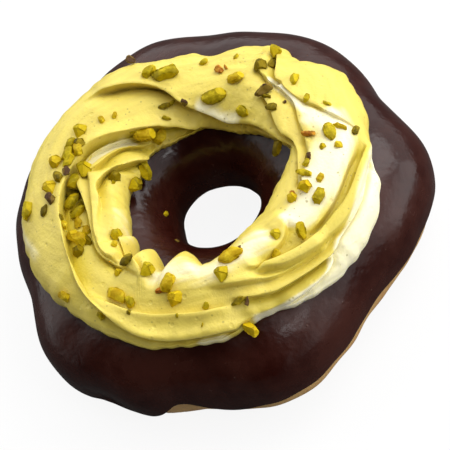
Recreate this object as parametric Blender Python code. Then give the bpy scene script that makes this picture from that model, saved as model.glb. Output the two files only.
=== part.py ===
"""Chocolate glazed ring doughnut with a piped ring of pistachio cream and chopped pistachios.

The shape functions work in millimetres and degrees, and the meshes are in metres. +Z is up and the
doughnut lies on z = 0, centred on the origin. A direction is an angle round the ring, from +X
counter-clockwise seen from above. A turn is an angle round the dough's tube: 0 faces outward, 90 is the
top, 180 faces the hole and 270 is the underside.
"""
import math
import random
from collections import namedtuple

import bmesh
import bpy
import numpy as np
from mathutils import Matrix, Vector

METRES = 0.001

# ---------------------------------------------------------------- driving dimensions, mm
OUTER_RADIUS = 49.4          # middle of the uneven outer outline
HOLE_RADIUS = 10.4           # middle of the uneven hole
BODY_HEIGHT = 28.0           # dough and glaze together
WAIST_HEIGHT = 13.0          # where the tube is widest
FOOT_DEPTH = 1.2             # how far the round tube would reach below the flat foot
GLAZE_THICKNESS = 1.0
CLEARANCE = 0.3              # between touching pieces
CREAM_RADIUS = 29.6          # middle of the piped cream, from the ring's axis
TUBE_SHARE = 0.9             # radius of the tube under the cream, over half the tube's width
CREAM_HEIGHT = 7.2           # crest of the piped cream over the glaze
CREAM_SEAT = 0.5             # underside of the cream over the glaze

# Section of the tube: powers of its cosine and sine. Less is squarer.
UPPER_POWER = 0.92
BELLY_POWER = 0.64           # outer side, below the waist
HOLE_POWER = 0.86            # hole side, below the waist
FOOT_POWER = 0.80            # height below the waist

# Lobes of the hand-cut outline: direction, height in mm, half width in degrees
OUTER_LOBES = (
    (1, -2.0, 13), (27, 1.1, 17), (84, 3.1, 15), (146, 0.6, 17), (172, -1.3, 14), (200, 3.0, 15),
    (222, 1.1, 12), (240, -0.9, 10), (263, 2.4, 13), (297, -3.0, 15), (337, 3.1, 16),
)
HOLE_LOBES = ((300, 2.1, 60), (165, -2.1, 45))

# Lower rim of the glaze: direction, turn of the tube
OUTER_RIM = (
    (20, -31), (60, -26), (100, -34), (150, -29), (195, -36), (213, -13), (222, -24), (235, 0),
    (248, -15), (258, -6), (267, -7), (276, -8), (284, -8), (296, -8), (312, -9), (328, -9), (348, -28),
)
HOLE_RIM = ((15, 220), (60, 210), (95, 208), (130, 219), (190, 224), (250, 217), (310, 222))

# The strip that the cream covers. Across the strip, 0 is its outer edge and 1 its edge at the hole.
STRIP_OUTER = (
    (0, 48), (30, 52), (65, 59), (95, 49), (120, 40), (160, 38), (178, 49), (195, 61), (212, 64),
    (235, 60), (262, 65), (278, 58), (297, 45), (330, 53), (350, 55),
)
STRIP_INNER = (
    (0, 118), (30, 130), (60, 129), (92, 121), (125, 131), (150, 129), (180, 130), (220, 124),
    (260, 123), (290, 128), (320, 127), (346, 118),
)
# Where the cream starts and ends across the strip
CREAM_OUTER = (
    (0, 0.07), (5, 0.08), (10, 0.15), (15, 0.245), (20, 0.29), (30, 0.22), (43, 0.26), (55, 0.34), (62, 0.29),
    (80, 0.37), (97, 0.27), (120, 0.21), (149, 0.23), (157, 0.18), (165, 0.12), (173, 0.06), (184, 0.02),
    (199, 0.03), (213, -0.02), (241, -0.065), (256, -0.06), (265, 0.055), (278, -0.01), (289, -0.05),
    (308, -0.01), (316, 0.025), (324, 0.07), (329, 0.155), (335, 0.175), (340, 0.165), (346, 0.085),
    (353, 0.055),
)
CREAM_INNER = (
    (0, 1.00), (20, 1.03), (45, 1.02), (62, 1.04), (76, 1.155), (92, 1.20), (103, 1.105), (114, 1.02),
    (132, 1.02), (147, 0.98), (170, 0.91), (190, 0.86), (207, 0.735), (228, 0.70), (245, 0.72), (256, 0.77),
    (265, 0.82), (278, 0.88), (297, 0.86), (309, 0.90), (328, 0.89), (346, 0.91),
)
# Knobs of cream that bulge over the hole: direction, size, half width in degrees
KNOBS = ((201.5, 0.55, 6.3), (220.5, 1.0, 8.5), (241.5, 0.95, 9.5))
KNOB_REACH = 0.17            # how far the largest reaches across the strip
KNOB_HEIGHT = 2.6
KNOB_GROUND = ((225, -1.2, 24),)     # lower cream between them: direction, height, half width
KNOB_START = 0.60            # share of the cream's width where they start to rise
KNOB_RUN = 0.16

# A fold of the cream runs along a route of (direction, across). One side of it stands up as a lip,
# which leans over a groove on the other. "high" is 1 where the side towards the hole stands up and
# -1 where the outer side does. Heights, depths, widths and lean are in mm. It rises and dies away
# over the degrees in "fade".
Fold = namedtuple(
    "Fold", "name high lip lip_width groove groove_width lean route fade", defaults=((9.0, 9.0),))
FOLDS = (
    Fold("long outer lobe", -1, 1.2, 5.0, 1.6, 2.4, 1.2,
         ((338, 0.81), (356, 0.90), (371, 0.935), (386, 0.92), (404, 0.87), (418, 0.835), (438, 0.715),
          (448, 0.64), (458, 0.53), (468, 0.44))),
    Fold("slope under the outer lobe", -1, 0.3, 3.0, 0.9, 6.5, 0.2,
         ((415, 0.84), (428, 0.79), (438, 0.715), (448, 0.64), (460, 0.51), (474, 0.42))),
    Fold("rim of the trough", -1, 1.2, 1.8, 2.9, 3.4, 0.9,
         ((46, 1.01), (75, 1.03), (88, 1.04), (96, 0.98), (104, 0.89), (115, 0.775), (124, 0.68),
          (132, 0.62), (146, 0.59), (160, 0.53), (168, 0.475), (185, 0.38), (206, 0.25), (222, 0.16)),
         (20.0, 30.0)),
    Fold("ribbon inside the rim", -1, 0.7, 1.2, 1.1, 1.6, 0.5,
         ((96, 1.0), (106, 0.90), (115, 0.81), (126, 0.705), (138, 0.65), (150, 0.635))),
    Fold("pale ribbon", -1, 0.5, 1.4, 1.8, 2.0, 0.7,
         ((102, 1.05), (113, 0.92), (123, 0.80), (130, 0.765), (140, 0.735), (150, 0.70))),
    Fold("ledge at the hole", -1, 1.0, 2.4, 1.9, 2.4, 1.1,
         ((106, 1.08), (114, 1.01), (122, 0.96), (132, 0.89), (142, 0.82), (151, 0.765), (158, 0.735),
          (168, 0.72), (180, 0.67), (192, 0.62)), (7.0, 32.0)),
    Fold("inner wall of the trough", 1, 1.0, 2.2, 1.4, 1.8, 0.7,
         ((138, 0.64), (150, 0.65), (164, 0.65), (174, 0.625), (184, 0.59), (196, 0.54), (214, 0.525),
          (230, 0.46)), (9.0, 30.0)),
    Fold("band over the skirt", 1, 0.9, 1.6, 1.5, 3.0, 0.9,
         ((172, 0.43), (181, 0.385), (190, 0.335), (201, 0.265), (219, 0.145), (230, 0.075), (244, 0.02),
          (258, 0.015), (268, 0.04)), (46.0, 9.0)),
    Fold("dip behind the band's rim", -1, 0.5, 2.4, 1.2, 3.4, 0.2,
         ((202, 0.31), (212, 0.26), (238, 0.22), (250, 0.185), (264, 0.19)), (16.0, 9.0)),
    Fold("near rim", 1, 0.8, 2.6, 0.8, 2.0, 0.3,
         ((252, 0.37), (262, 0.345), (271, 0.30), (281, 0.245), (292, 0.235), (300, 0.235))),
    Fold("near rim, lower", 1, 0.6, 1.6, 1.5, 2.2, 0.9,
         ((258, 0.24), (267, 0.23), (273, 0.19), (280, 0.175), (288, 0.175), (300, 0.195)), (10.0, 6.0)),
    Fold("lip of the hollow", -1, 0.9, 1.4, 1.5, 1.8, 0.8,
         ((271, 0.40), (280, 0.335), (286, 0.31), (306, 0.295), (314, 0.275), (325, 0.26), (335, 0.24)),
         (6.0, 6.0)),
    Fold("side of the hollow", 1, 0.6, 3.0, 1.0, 2.4, 0.4,
         ((292, 0.36), (306, 0.36), (314, 0.355), (326, 0.335), (332, 0.31), (338, 0.26))),
    Fold("end of the hollow", 1, 0.5, 2.0, 0.9, 1.8, 0.3,
         ((268, 0.40), (276, 0.395), (282, 0.41), (288, 0.44), (293, 0.50), (297, 0.56)), (5.0, 5.0)),
    Fold("rounded end over the skirt", 1, 0.8, 2.2, 1.1, 2.2, 0.5,
         ((262, 0.07), (272, 0.05), (280, 0.045), (286, 0.065), (290, 0.09), (293, 0.125), (296, 0.18)),
         (4.0, 4.0)),
    Fold("edge over the pale skirt", 1, 0.7, 1.4, 1.1, 2.4, 0.6,
         ((293, 0.185), (304, 0.21), (315, 0.20), (328, 0.20), (338, 0.165)), (5.0, 5.0)),
    Fold("edge of the big outer lobe", -1, 0.35, 3.0, 0.4, 1.6, 0.4,
         ((335, 0.23), (341, 0.35), (345, 0.43), (350, 0.49), (357, 0.57), (366, 0.60), (376, 0.56))),
    Fold("curled peak", -1, 0.8, 1.5, 1.5, 1.5, 0.7,
         ((370, 0.59), (376, 0.55), (382, 0.45), (388, 0.31), (393, 0.17)), (3.5, 3.5)),
    Fold("upper inner ripple", -1, 0.5, 2.0, 0.6, 1.4, 0.4,
         ((306, 0.55), (318, 0.565), (328, 0.59), (336, 0.64), (346, 0.65), (356, 0.63), (375, 0.61),
          (384, 0.55))),
    Fold("lower inner ripple", -1, 0.6, 1.6, 0.8, 1.4, 0.7,
         ((308, 0.58), (318, 0.61), (329, 0.67), (340, 0.75), (357, 0.78), (369, 0.74), (378, 0.70))),
)
# A swell is a soft rise along a route: height, then half widths on its outer and inner side
Swell = namedtuple("Swell", "name lift outer_width inner_width route fade", defaults=((9.0, 9.0),))
SWELLS = (
    Swell("far lobe", 0.6, 2.5, 2.5, ((18, 0.66), (45, 0.68), (80, 0.72))),
    Swell("near lobe", 1.2, 3.0, 3.2, ((208, 0.58), (225, 0.54), (250, 0.50), (290, 0.55))),
    Swell("inner lobe", 1.5, 2.2, 3.0, ((136, 0.86), (165, 0.80), (198, 0.74))),
    Swell("end of the near lobe", 0.8, 2.2, 2.2, ((286, 0.52), (293, 0.56), (299, 0.56)), (4.0, 4.0)),
)
FOLD_EDGE = 0.80             # half width of the step between lip and groove
EDGE_SHARE = 0.06            # share of the cream's width that turns down to each foot
DOME_POWER = 2.3             # squareness of the piped ring's section
THINNEST_CREAM = 0.6         # over its seat, at the bottom of the deepest fold
SLIVER = 0.005               # faces thinner than this close up after the union

# Meshes: steps round the ring, and rows across each surface
RING_STEPS = 60              # dough and glaze
TUBE_ROWS = 8                # rows of the dough and of the glaze's underside between the glaze's rims
GLAZE_ROWS = 11              # outside of the glaze
FOOT_TURNS = (245.0, 270.0, 295.0)   # rows of the flat foot
BARE_ROWS = 2                # rows between the foot and the glaze's outer rim
CREAM_STEPS = 120
CREAM_ROWS = 19              # top of the cream
CREAM_SEAT_ROWS = 5          # underside of the cream
FOLD_ROWS = 3.0              # how much closer the rows lie along a fold
FOOT_ROWS = 2.5              # how much closer they lie at the cream's feet
FOLD_BAND = 1.5              # half width of the closer rows, over that of a fold's step
ROW_SAMPLES = 380            # places across the cream where the rows' spacing is worked out

# Chopped pistachios. Each drift spreads a number of bits round (direction, across).
Drift = namedtuple("Drift", "count direction spread across depth")
DRIFTS = (
    Drift(12, 138, 9, 0.565, 0.045), Drift(6, 158, 8, 0.53, 0.04), Drift(3, 148, 5, 0.84, 0.04),
    Drift(4, 181, 5, 0.45, 0.03), Drift(2, 203, 9, 0.12, 0.02), Drift(4, 209, 9, 0.56, 0.09),
    Drift(3, 219, 4, 0.30, 0.05), Drift(4, 234, 6, 0.48, 0.08), Drift(3, 246, 6, 0.24, 0.10),
    Drift(3, 261, 2, 0.29, 0.13), Drift(3, 288, 6, 0.43, 0.05), Drift(6, 315, 10, 0.54, 0.055),
    Drift(5, 335, 5, 0.47, 0.10), Drift(3, 352, 8, 0.50, 0.07), Drift(5, 8, 9, 0.68, 0.10),
    Drift(3, 26, 3, 0.46, 0.05), Drift(3, 47, 9, 0.51, 0.06), Drift(2, 80, 5, 0.55, 0.03),
    Drift(3, 82, 4, 0.83, 0.05), Drift(2, 102, 7, 0.95, 0.07), Drift(3, 116, 8, 0.63, 0.09),
)
NUT_SEED = 11
NUT_LENGTH = (2.4, 4.6)      # shortest and longest bit
# Direction, place across the strip, length and spin
LARGEST_NUTS = (
    (45, 0.745, 6.0, 8), (347, 0.93, 6.2, 50), (75, 0.57, 5.4, 10), (267, 0.60, 5.2, 30),
    (33, 0.605, 4.8, 12), (260.5, 0.03, 4.8, 80), (194, 0.69, 4.8, 15), (159, 0.28, 4.8, 60),
)
NUT_SIDES = 5                # knife cuts round a bit
NUT_SINK = 0.32              # share of a bit's height that lies in the cream
NUT_TILT = 18                # degrees
NUT_SHORTNESS = 1.6          # above 1, short bits are commoner than long ones
# Shares of a bit's length
NUT_WIDTH = (0.50, 0.72)
NUT_THICKNESS = (0.40, 0.54)
NUT_TOP = (0.22, 0.38)       # radius of the narrower top; the bottom's is half the length
NUT_UNEVENNESS = 0.06        # how far a corner is off

# Colour and roughness
DOUGH_FINISH = ((0.64, 0.40, 0.17, 1.0), 0.75)
GLAZE_FINISH = ((0.030, 0.009, 0.007, 1.0), 0.28)
CREAM_FINISH = ((0.80, 0.70, 0.24, 1.0), 0.55)


# ---------------------------------------------------------------- curves
def through(points, at, round_ring=True):
    """Smooth curve through hand-placed points, closed round the ring unless told otherwise."""
    table = np.array(points, float)
    x, y = table[:, 0], table[:, 1]
    at = np.asarray(at, float)
    if round_ring:
        x = np.concatenate([x - 360, x, x + 360])
        y = np.concatenate([y, y, y])
        at = at % 360
    slope = np.gradient(y, x)
    span = np.clip(np.searchsorted(x, at, side="right") - 1, 0, len(x) - 2)
    step = x[span + 1] - x[span]
    part = np.clip((at - x[span]) / step, 0, 1)
    square, cube = part**2, part**3
    return (
        (2 * cube - 3 * square + 1) * y[span] + (cube - 2 * square + part) * step * slope[span]
        + (3 * square - 2 * cube) * y[span + 1] + (cube - square) * step * slope[span + 1]
    )


def around_from(direction, centre):
    """Degrees from a centre, from -180 to 180."""
    return (direction - centre + 180) % 360 - 180


def lobes(table, direction):
    """Sum of rounded lobes, each (direction, height, half width)."""
    total = np.zeros_like(np.asarray(direction, float))
    for centre, height, half_width in table:
        total = total + height * np.exp(-((around_from(direction, centre) / half_width) ** 2))
    return total


def knobs(table, direction):
    """Sum of round-topped knobs with sharp gaps between them, each (direction, height, half width)."""
    total = np.zeros_like(np.asarray(direction, float))
    for centre, height, half_width in table:
        total = total + height * np.maximum(1 - (around_from(direction, centre) / half_width) ** 2, 0)
    return total


def smooth_step(value):
    """0 to 1 without a corner, for a value that runs from 0 to 1."""
    value = np.clip(value, 0, 1)
    return value * value * (3 - 2 * value)


def signed_power(value, power):
    """Power of a value's size, with its sign kept."""
    return np.sign(value) * np.abs(value) ** power


# ---------------------------------------------------------------- dough and glaze
def skin(direction, turn, inset=0.0):
    """Point on the glazed outside of the doughnut, or on a surface a little inside it."""
    around, across = np.radians(direction), np.radians(turn)
    outer = OUTER_RADIUS + lobes(OUTER_LOBES, direction) - inset
    inner = HOLE_RADIUS + lobes(HOLE_LOBES, direction) + inset
    middle, half_width = (outer + inner) / 2, (outer - inner) / 2
    upper = np.sin(across) > 0
    rise = np.where(upper, BODY_HEIGHT - inset - WAIST_HEIGHT, WAIST_HEIGHT + FOOT_DEPTH)
    cosine_power = np.where(upper, UPPER_POWER, np.where(np.cos(across) > 0, BELLY_POWER, HOLE_POWER))
    sine_power = np.where(upper, UPPER_POWER, FOOT_POWER)
    radius = middle + half_width * signed_power(np.cos(across), cosine_power)
    height = np.maximum(WAIST_HEIGHT + rise * signed_power(np.sin(across), sine_power), 0)
    return np.stack([radius * np.cos(around), radius * np.sin(around), height], axis=-1)


def skin_normal(direction, turn):
    """Outward normal of the glazed outside, from points half a degree to each side."""
    along = skin(direction + 0.5, turn) - skin(direction - 0.5, turn)
    across = skin(direction, turn + 0.5) - skin(direction, turn - 0.5)
    normal = np.cross(along, across)
    return normal / np.linalg.norm(normal, axis=-1, keepdims=True)


def glaze_turns(direction, rows):
    """Turns of evenly spaced rows from the glaze's outer rim over the top to its rim in the hole."""
    first, last = through(OUTER_RIM, direction), through(HOLE_RIM, direction)
    share = np.linspace(0, 1, rows + 1)
    return first[:, None] + (last - first)[:, None] * share


def dough_grid():
    """The dough: the glaze's rows, then its bare sides and its flat foot."""
    direction = np.arange(RING_STEPS) * 360 / RING_STEPS
    covered = glaze_turns(direction, TUBE_ROWS)
    foot = np.tile(FOOT_TURNS, (RING_STEPS, 1))
    share = np.arange(1, BARE_ROWS + 1) / (BARE_ROWS + 1)
    bare = foot[:, -1:] + (covered[:, :1] + 360 - foot[:, -1:]) * share
    turns = np.concatenate([covered, foot, bare], axis=1)
    return skin(direction[:, None], turns, GLAZE_THICKNESS + CLEARANCE)


def glaze_grid():
    """The glaze: its outside from rim to rim, then back along its underside."""
    direction = np.arange(RING_STEPS) * 360 / RING_STEPS
    outside = skin(direction[:, None], glaze_turns(direction, GLAZE_ROWS))
    underside = skin(direction[:, None], glaze_turns(direction, TUBE_ROWS)[:, ::-1], GLAZE_THICKNESS)
    return np.concatenate([outside, underside], axis=1)


# ---------------------------------------------------------------- cream
def strip_frame(direction):
    """Turns of the strip's two edges and its width in mm."""
    outer_turn, inner_turn = through(STRIP_OUTER, direction), through(STRIP_INNER, direction)
    tube_radius = (OUTER_RADIUS - HOLE_RADIUS) / 2 * TUBE_SHARE
    return outer_turn, inner_turn, np.radians(inner_turn - outer_turn) * tube_radius


def cream_across(direction, share):
    """Place across the strip of a share of the cream's own width."""
    start = through(CREAM_OUTER, direction)
    end = through(CREAM_INNER, direction) + KNOB_REACH * knobs(KNOBS, direction)
    return start + (end - start) * share


def route_distance(ridge, direction, across, strip_width):
    """Distance in mm from the line of a fold or swell, positive towards the hole, and how far it rose."""
    first, last = ridge.route[0][0], ridge.route[-1][0]
    along = first + (direction - first) % 360
    inside = along <= last
    along = np.minimum(along, last)
    line = through(ridge.route, along, round_ring=False)
    ahead = through(ridge.route, along + 1, round_ring=False)
    slant = (ahead - line) * strip_width / (math.radians(1) * CREAM_RADIUS)
    distance = (across - line) * strip_width / np.sqrt(1 + slant**2)
    rise, fall = ridge.fade
    risen = inside * smooth_step((along - first) / rise) * smooth_step((last - along) / fall)
    return distance, risen


def fold_relief(fold, direction, across, strip_width):
    """Height that a fold adds, and how far it leans, both in mm."""
    distance, risen = route_distance(fold, direction, across, strip_width)
    distance = distance * fold.high
    step = smooth_step(distance / (2 * FOLD_EDGE) + 0.5)
    shoulder = np.exp(-((np.maximum(distance, 0) / fold.lip_width) ** 2))
    trough = np.exp(-((np.maximum(-distance, 0) / fold.groove_width) ** 2))
    relief = risen * (fold.lip * step * shoulder - fold.groove * (1 - step) * trough)
    lean = -risen * fold.high * fold.lean * step * shoulder
    return relief, lean


def swell_relief(swell, direction, across, strip_width):
    """Height that a swell adds, in mm."""
    distance, risen = route_distance(swell, direction, across, strip_width)
    width = np.where(distance < 0, swell.outer_width, swell.inner_width)
    return swell.lift * risen * np.exp(-((distance / width) ** 2))


def cream_surface(direction, share):
    """Point on the piped cream. share runs from 0 at its outer foot to 1 at its foot in the hole."""
    across = cream_across(direction, share)
    outer_turn, inner_turn, strip_width = strip_frame(direction)
    relief, lean = 0.0, 0.0
    for fold in FOLDS:
        raised, leaning = fold_relief(fold, direction, across, strip_width)
        relief = relief + raised
        lean = lean + leaning
    for swell in SWELLS:
        relief = relief + swell_relief(swell, direction, across, strip_width)
    knob_height = lobes(KNOB_GROUND, direction) + KNOB_HEIGHT * knobs(KNOBS, direction)
    relief = relief + knob_height * smooth_step((share - KNOB_START) / KNOB_RUN)
    settled = smooth_step(np.minimum(share, 1 - share) / EDGE_SHARE)
    turn = outer_turn + (inner_turn - outer_turn) * (across + lean * settled / strip_width)
    dome = np.sqrt(np.maximum(1 - np.abs(2 * share - 1) ** DOME_POWER, 0))
    raised_height = np.maximum(dome * CREAM_HEIGHT + relief * settled, THINNEST_CREAM * dome)
    height = CREAM_SEAT + raised_height
    return skin(direction, turn) + skin_normal(direction, turn) * height[..., None]


def cream_rows(direction):
    """Shares of the rows across the cream, closer together at its feet and along each fold."""
    fine = np.linspace(0, 1, ROW_SAMPLES + 1)[None, :]
    across = cream_across(direction, fine)
    strip_width = strip_frame(direction)[2]
    density = 1 + FOOT_ROWS * np.exp(-((np.minimum(fine, 1 - fine) / EDGE_SHARE) ** 2))
    for fold in FOLDS:
        distance, risen = route_distance(fold, direction, across, strip_width)
        density = density + FOLD_ROWS * risen * np.exp(-((distance / (FOLD_BAND * FOLD_EDGE)) ** 2))
    filled = np.cumsum(density, axis=1) - density / 2
    filled = (filled - filled[:, :1]) / (filled[:, -1:] - filled[:, :1])
    even = np.linspace(0, 1, CREAM_ROWS + 1)
    return np.stack([np.interp(even, column, fine[0]) for column in filled])


def cream_grid():
    """The cream: its piped top from the outer foot to the hole, then back along its seat."""
    direction = (np.arange(CREAM_STEPS) * 360 / CREAM_STEPS)[:, None]
    top = cream_surface(direction, cream_rows(direction))
    across = cream_across(direction, np.linspace(1, 0, CREAM_SEAT_ROWS + 1)[None, 1:-1])
    outer_turn, inner_turn, _ = strip_frame(direction)
    turn = outer_turn + (inner_turn - outer_turn) * across
    seat = skin(direction, turn) + skin_normal(direction, turn) * CREAM_SEAT
    return np.concatenate([top, seat], axis=1)


# ---------------------------------------------------------------- chopped pistachios
def nut_places():
    """Direction, place across the strip, length and spin of every bit."""
    draw = random.Random(NUT_SEED)
    places = list(LARGEST_NUTS)
    for drift in DRIFTS:
        for number in range(drift.count):
            even = (number + 0.5) / drift.count * 2 - 1
            direction = drift.direction + drift.spread * (even + draw.uniform(-0.25, 0.25))
            across = drift.across + drift.depth * draw.uniform(-1, 1)
            length = NUT_LENGTH[0] + (NUT_LENGTH[1] - NUT_LENGTH[0]) * draw.random() ** NUT_SHORTNESS
            places.append((direction, across, length, draw.uniform(0, 180)))
    return places


def cut_nut(length, draw):
    """One chopped bit: a low lump with knife-cut sides, narrower at the top."""
    bit = bmesh.new()
    width, thickness = draw.uniform(*NUT_WIDTH), draw.uniform(*NUT_THICKNESS)
    bmesh.ops.create_cone(
        bit, cap_ends=True, segments=NUT_SIDES, radius1=0.5, radius2=draw.uniform(*NUT_TOP), depth=1.0)
    bmesh.ops.scale(bit, vec=(length, length * width, length * thickness), verts=bit.verts)
    for corner in bit.verts:
        corner.co += Vector((draw.uniform(-1, 1), draw.uniform(-1, 1), 0)) * length * NUT_UNEVENNESS
    return bit, length * thickness


def place_nuts(centre):
    """Every bit as its own object, resting at a slight tilt on the cream's slope under it."""
    draw = random.Random(NUT_SEED + 1)
    objects = []
    for number, (direction, across, length, spin) in enumerate(nut_places()):
        start, end = cream_across(direction, np.array((0.0, 1.0)))
        share = min(max((across - start) / (end - start), EDGE_SHARE), 1 - EDGE_SHARE)
        here = cream_surface(np.array(direction), np.array(share))
        along = cream_surface(np.array(direction + 2.0), np.array(share)) - here
        inward = cream_surface(np.array(direction), np.array(share + 0.02)) - cream_surface(
            np.array(direction), np.array(share - 0.02))
        up = Vector(np.cross(along, inward)).normalized()
        ahead = Vector(along).normalized()
        frame = Matrix((ahead, up.cross(ahead), up)).transposed()
        turn = frame @ Matrix.Rotation(math.radians(spin), 3, "Z")
        turn = turn @ Matrix.Rotation(math.radians(draw.uniform(-NUT_TILT, NUT_TILT)), 3, "X")
        bit, thickness = cut_nut(length, draw)
        lift = up * thickness * (0.5 - NUT_SINK)
        place = Matrix.Translation((Vector(here) - Vector(centre) + lift) * METRES) @ turn.to_4x4()
        bmesh.ops.transform(bit, matrix=place @ Matrix.Scale(METRES, 4), verts=bit.verts)
        mesh = bpy.data.meshes.new(f"nut_{number}")
        bit.to_mesh(mesh)
        bit.free()
        objects.append(bpy.data.objects.new(f"nut_{number}", mesh))
    return objects


# ---------------------------------------------------------------- meshes
def ring_mesh(name, grid):
    """Closed mesh from a grid of points: rows close round the tube and steps close round the ring.

    Each quad is cut along its shorter diagonal, so that surfaces that lie over each other match.
    """
    steps, rows = grid.shape[:2]
    points = grid.reshape(-1, 3) * METRES
    faces = []
    for step in range(steps):
        here, ahead = step * rows, (step + 1) % steps * rows
        for row in range(rows):
            above = (row + 1) % rows
            a, b, c, d = here + row, ahead + row, ahead + above, here + above
            if np.linalg.norm(points[a] - points[c]) <= np.linalg.norm(points[b] - points[d]):
                faces += [(a, b, c), (a, c, d)]
            else:
                faces += [(a, b, d), (b, c, d)]
    mesh = bpy.data.meshes.new(name)
    mesh.from_pydata(points.tolist(), [], faces)
    mesh.shade_smooth()
    return mesh


def finish(name, colour, roughness):
    """Plain material of one colour."""
    material = bpy.data.materials.new(name)
    material.use_nodes = True
    shader = material.node_tree.nodes["Principled BSDF"]
    shader.inputs["Base Color"].default_value = colour
    shader.inputs["Roughness"].default_value = roughness
    shader.inputs["Metallic"].default_value = 0.0
    return material


def add_ring(name, grid, material):
    """Object for one node, from its grid of points."""
    ring = bpy.data.objects.new(name, ring_mesh(name, grid))
    ring.data.materials.append(material)
    bpy.context.scene.collection.objects.link(ring)
    return ring


def join_nuts(cream, nuts):
    """One Boolean union makes the cream and its nuts a single solid."""
    heap = bpy.data.collections.new("chopped_nuts")
    bpy.context.scene.collection.children.link(heap)
    for nut in nuts:
        heap.objects.link(nut)
    union = cream.modifiers.new("nuts", "BOOLEAN")
    union.operation = "UNION"
    union.operand_type = "COLLECTION"
    union.collection = heap
    union.solver = "EXACT"
    bpy.context.view_layer.objects.active = cream
    with bpy.context.temp_override(object=cream, active_object=cream, selected_objects=[cream]):
        bpy.ops.object.modifier_apply(modifier=union.name)
    for nut in nuts:
        bpy.data.objects.remove(nut, do_unlink=True)
    bpy.data.collections.remove(heap)
    drop_slivers(cream.data)


def drop_slivers(mesh):
    """Close up the needle-thin faces that a union leaves where two surfaces graze each other."""
    body = bmesh.new()
    body.from_mesh(mesh)
    bmesh.ops.remove_doubles(body, verts=body.verts[:], dist=SLIVER * METRES)
    bmesh.ops.dissolve_degenerate(body, edges=body.edges[:], dist=SLIVER * METRES)
    bmesh.ops.triangulate(body, faces=body.faces[:])
    body.to_mesh(mesh)
    body.free()


def main():
    """Three nodes, centred on the origin by their overall footprint."""
    for old in list(bpy.data.objects):
        bpy.data.objects.remove(old, do_unlink=True)
    grids = {"dough_ring": dough_grid(), "chocolate_glaze": glaze_grid(), "pistachio_cream": cream_grid()}
    every_point = np.concatenate([grid.reshape(-1, 3) for grid in grids.values()])
    low, high = every_point.min(axis=0), every_point.max(axis=0)
    centre = np.array([(low[0] + high[0]) / 2, (low[1] + high[1]) / 2, 0.0])
    add_ring("dough_ring", grids["dough_ring"] - centre, finish("dough", *DOUGH_FINISH))
    add_ring("chocolate_glaze", grids["chocolate_glaze"] - centre, finish("glaze", *GLAZE_FINISH))
    cream = add_ring("pistachio_cream", grids["pistachio_cream"] - centre, finish("cream", *CREAM_FINISH))
    join_nuts(cream, place_nuts(centre))


main()
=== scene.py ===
"""Looks of a chocolate glazed ring doughnut with piped pistachio cream and chopped pistachios.

Shape functions work in millimetres and degrees. A direction is an angle round the ring, from +X
counter-clockwise seen from above. A turn is an angle round the ring's tube: 0 faces outward, 90 is the
top, 180 faces the hole and 270 is the underside. "Across" runs over the strip that the cream covers, from
0 at its outer edge to 1 at its edge in the hole.
"""
import logging
import math
import random
from dataclasses import dataclass
from enum import Enum

import bpy
import numpy as np
from mathutils import Matrix, Vector, noise
from mathutils.bvhtree import BVHTree


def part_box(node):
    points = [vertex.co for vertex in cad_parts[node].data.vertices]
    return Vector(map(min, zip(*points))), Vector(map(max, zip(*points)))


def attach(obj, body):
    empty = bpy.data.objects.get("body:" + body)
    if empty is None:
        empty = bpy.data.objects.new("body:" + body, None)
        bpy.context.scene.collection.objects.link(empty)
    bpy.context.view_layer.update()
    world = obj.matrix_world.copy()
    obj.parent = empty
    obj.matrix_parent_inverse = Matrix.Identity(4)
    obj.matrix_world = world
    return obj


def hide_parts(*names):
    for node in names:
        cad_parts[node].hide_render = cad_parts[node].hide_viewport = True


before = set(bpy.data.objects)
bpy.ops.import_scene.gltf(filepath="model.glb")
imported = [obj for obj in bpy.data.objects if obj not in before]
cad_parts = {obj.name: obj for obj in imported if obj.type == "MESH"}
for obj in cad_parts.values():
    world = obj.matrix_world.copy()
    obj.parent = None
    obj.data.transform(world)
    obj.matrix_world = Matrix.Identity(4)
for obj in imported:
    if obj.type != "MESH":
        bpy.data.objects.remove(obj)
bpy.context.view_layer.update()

LOG = logging.getLogger("doughnut")
MM = 0.001
TOP_TURN, FOOT_TURN = 90, 270

Points = tuple[tuple[float, ...], ...]
Colour = tuple[float, float, float, float]
WHITE: Colour = (1, 1, 1, 1)
BLACK: Colour = (0, 0, 0, 1)


# ---------------------------------------------------------------- curves
def smooth_step(value: np.ndarray) -> np.ndarray:
    """0 to 1 without a corner, for a value that runs from 0 to 1."""
    value = np.clip(value, 0, 1)
    return value * value * (3 - 2 * value)


def bell(away: np.ndarray, half_width: float) -> np.ndarray:
    """1 at the middle, falling away evenly to both sides."""
    return np.exp(-((away / half_width) ** 2))


def signed_power(value: np.ndarray, power: np.ndarray) -> np.ndarray:
    """Power of a value's size, with its sign kept."""
    return np.sign(value) * np.abs(value) ** power


def around_from(direction: np.ndarray, centre: float) -> np.ndarray:
    """Degrees from a centre, from -180 to 180."""
    return (direction - centre + 180) % 360 - 180


def even_directions(steps: int) -> np.ndarray:
    """Directions of even steps round the ring, one to a row."""
    return (np.arange(steps) * 360 / steps)[:, None]


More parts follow.
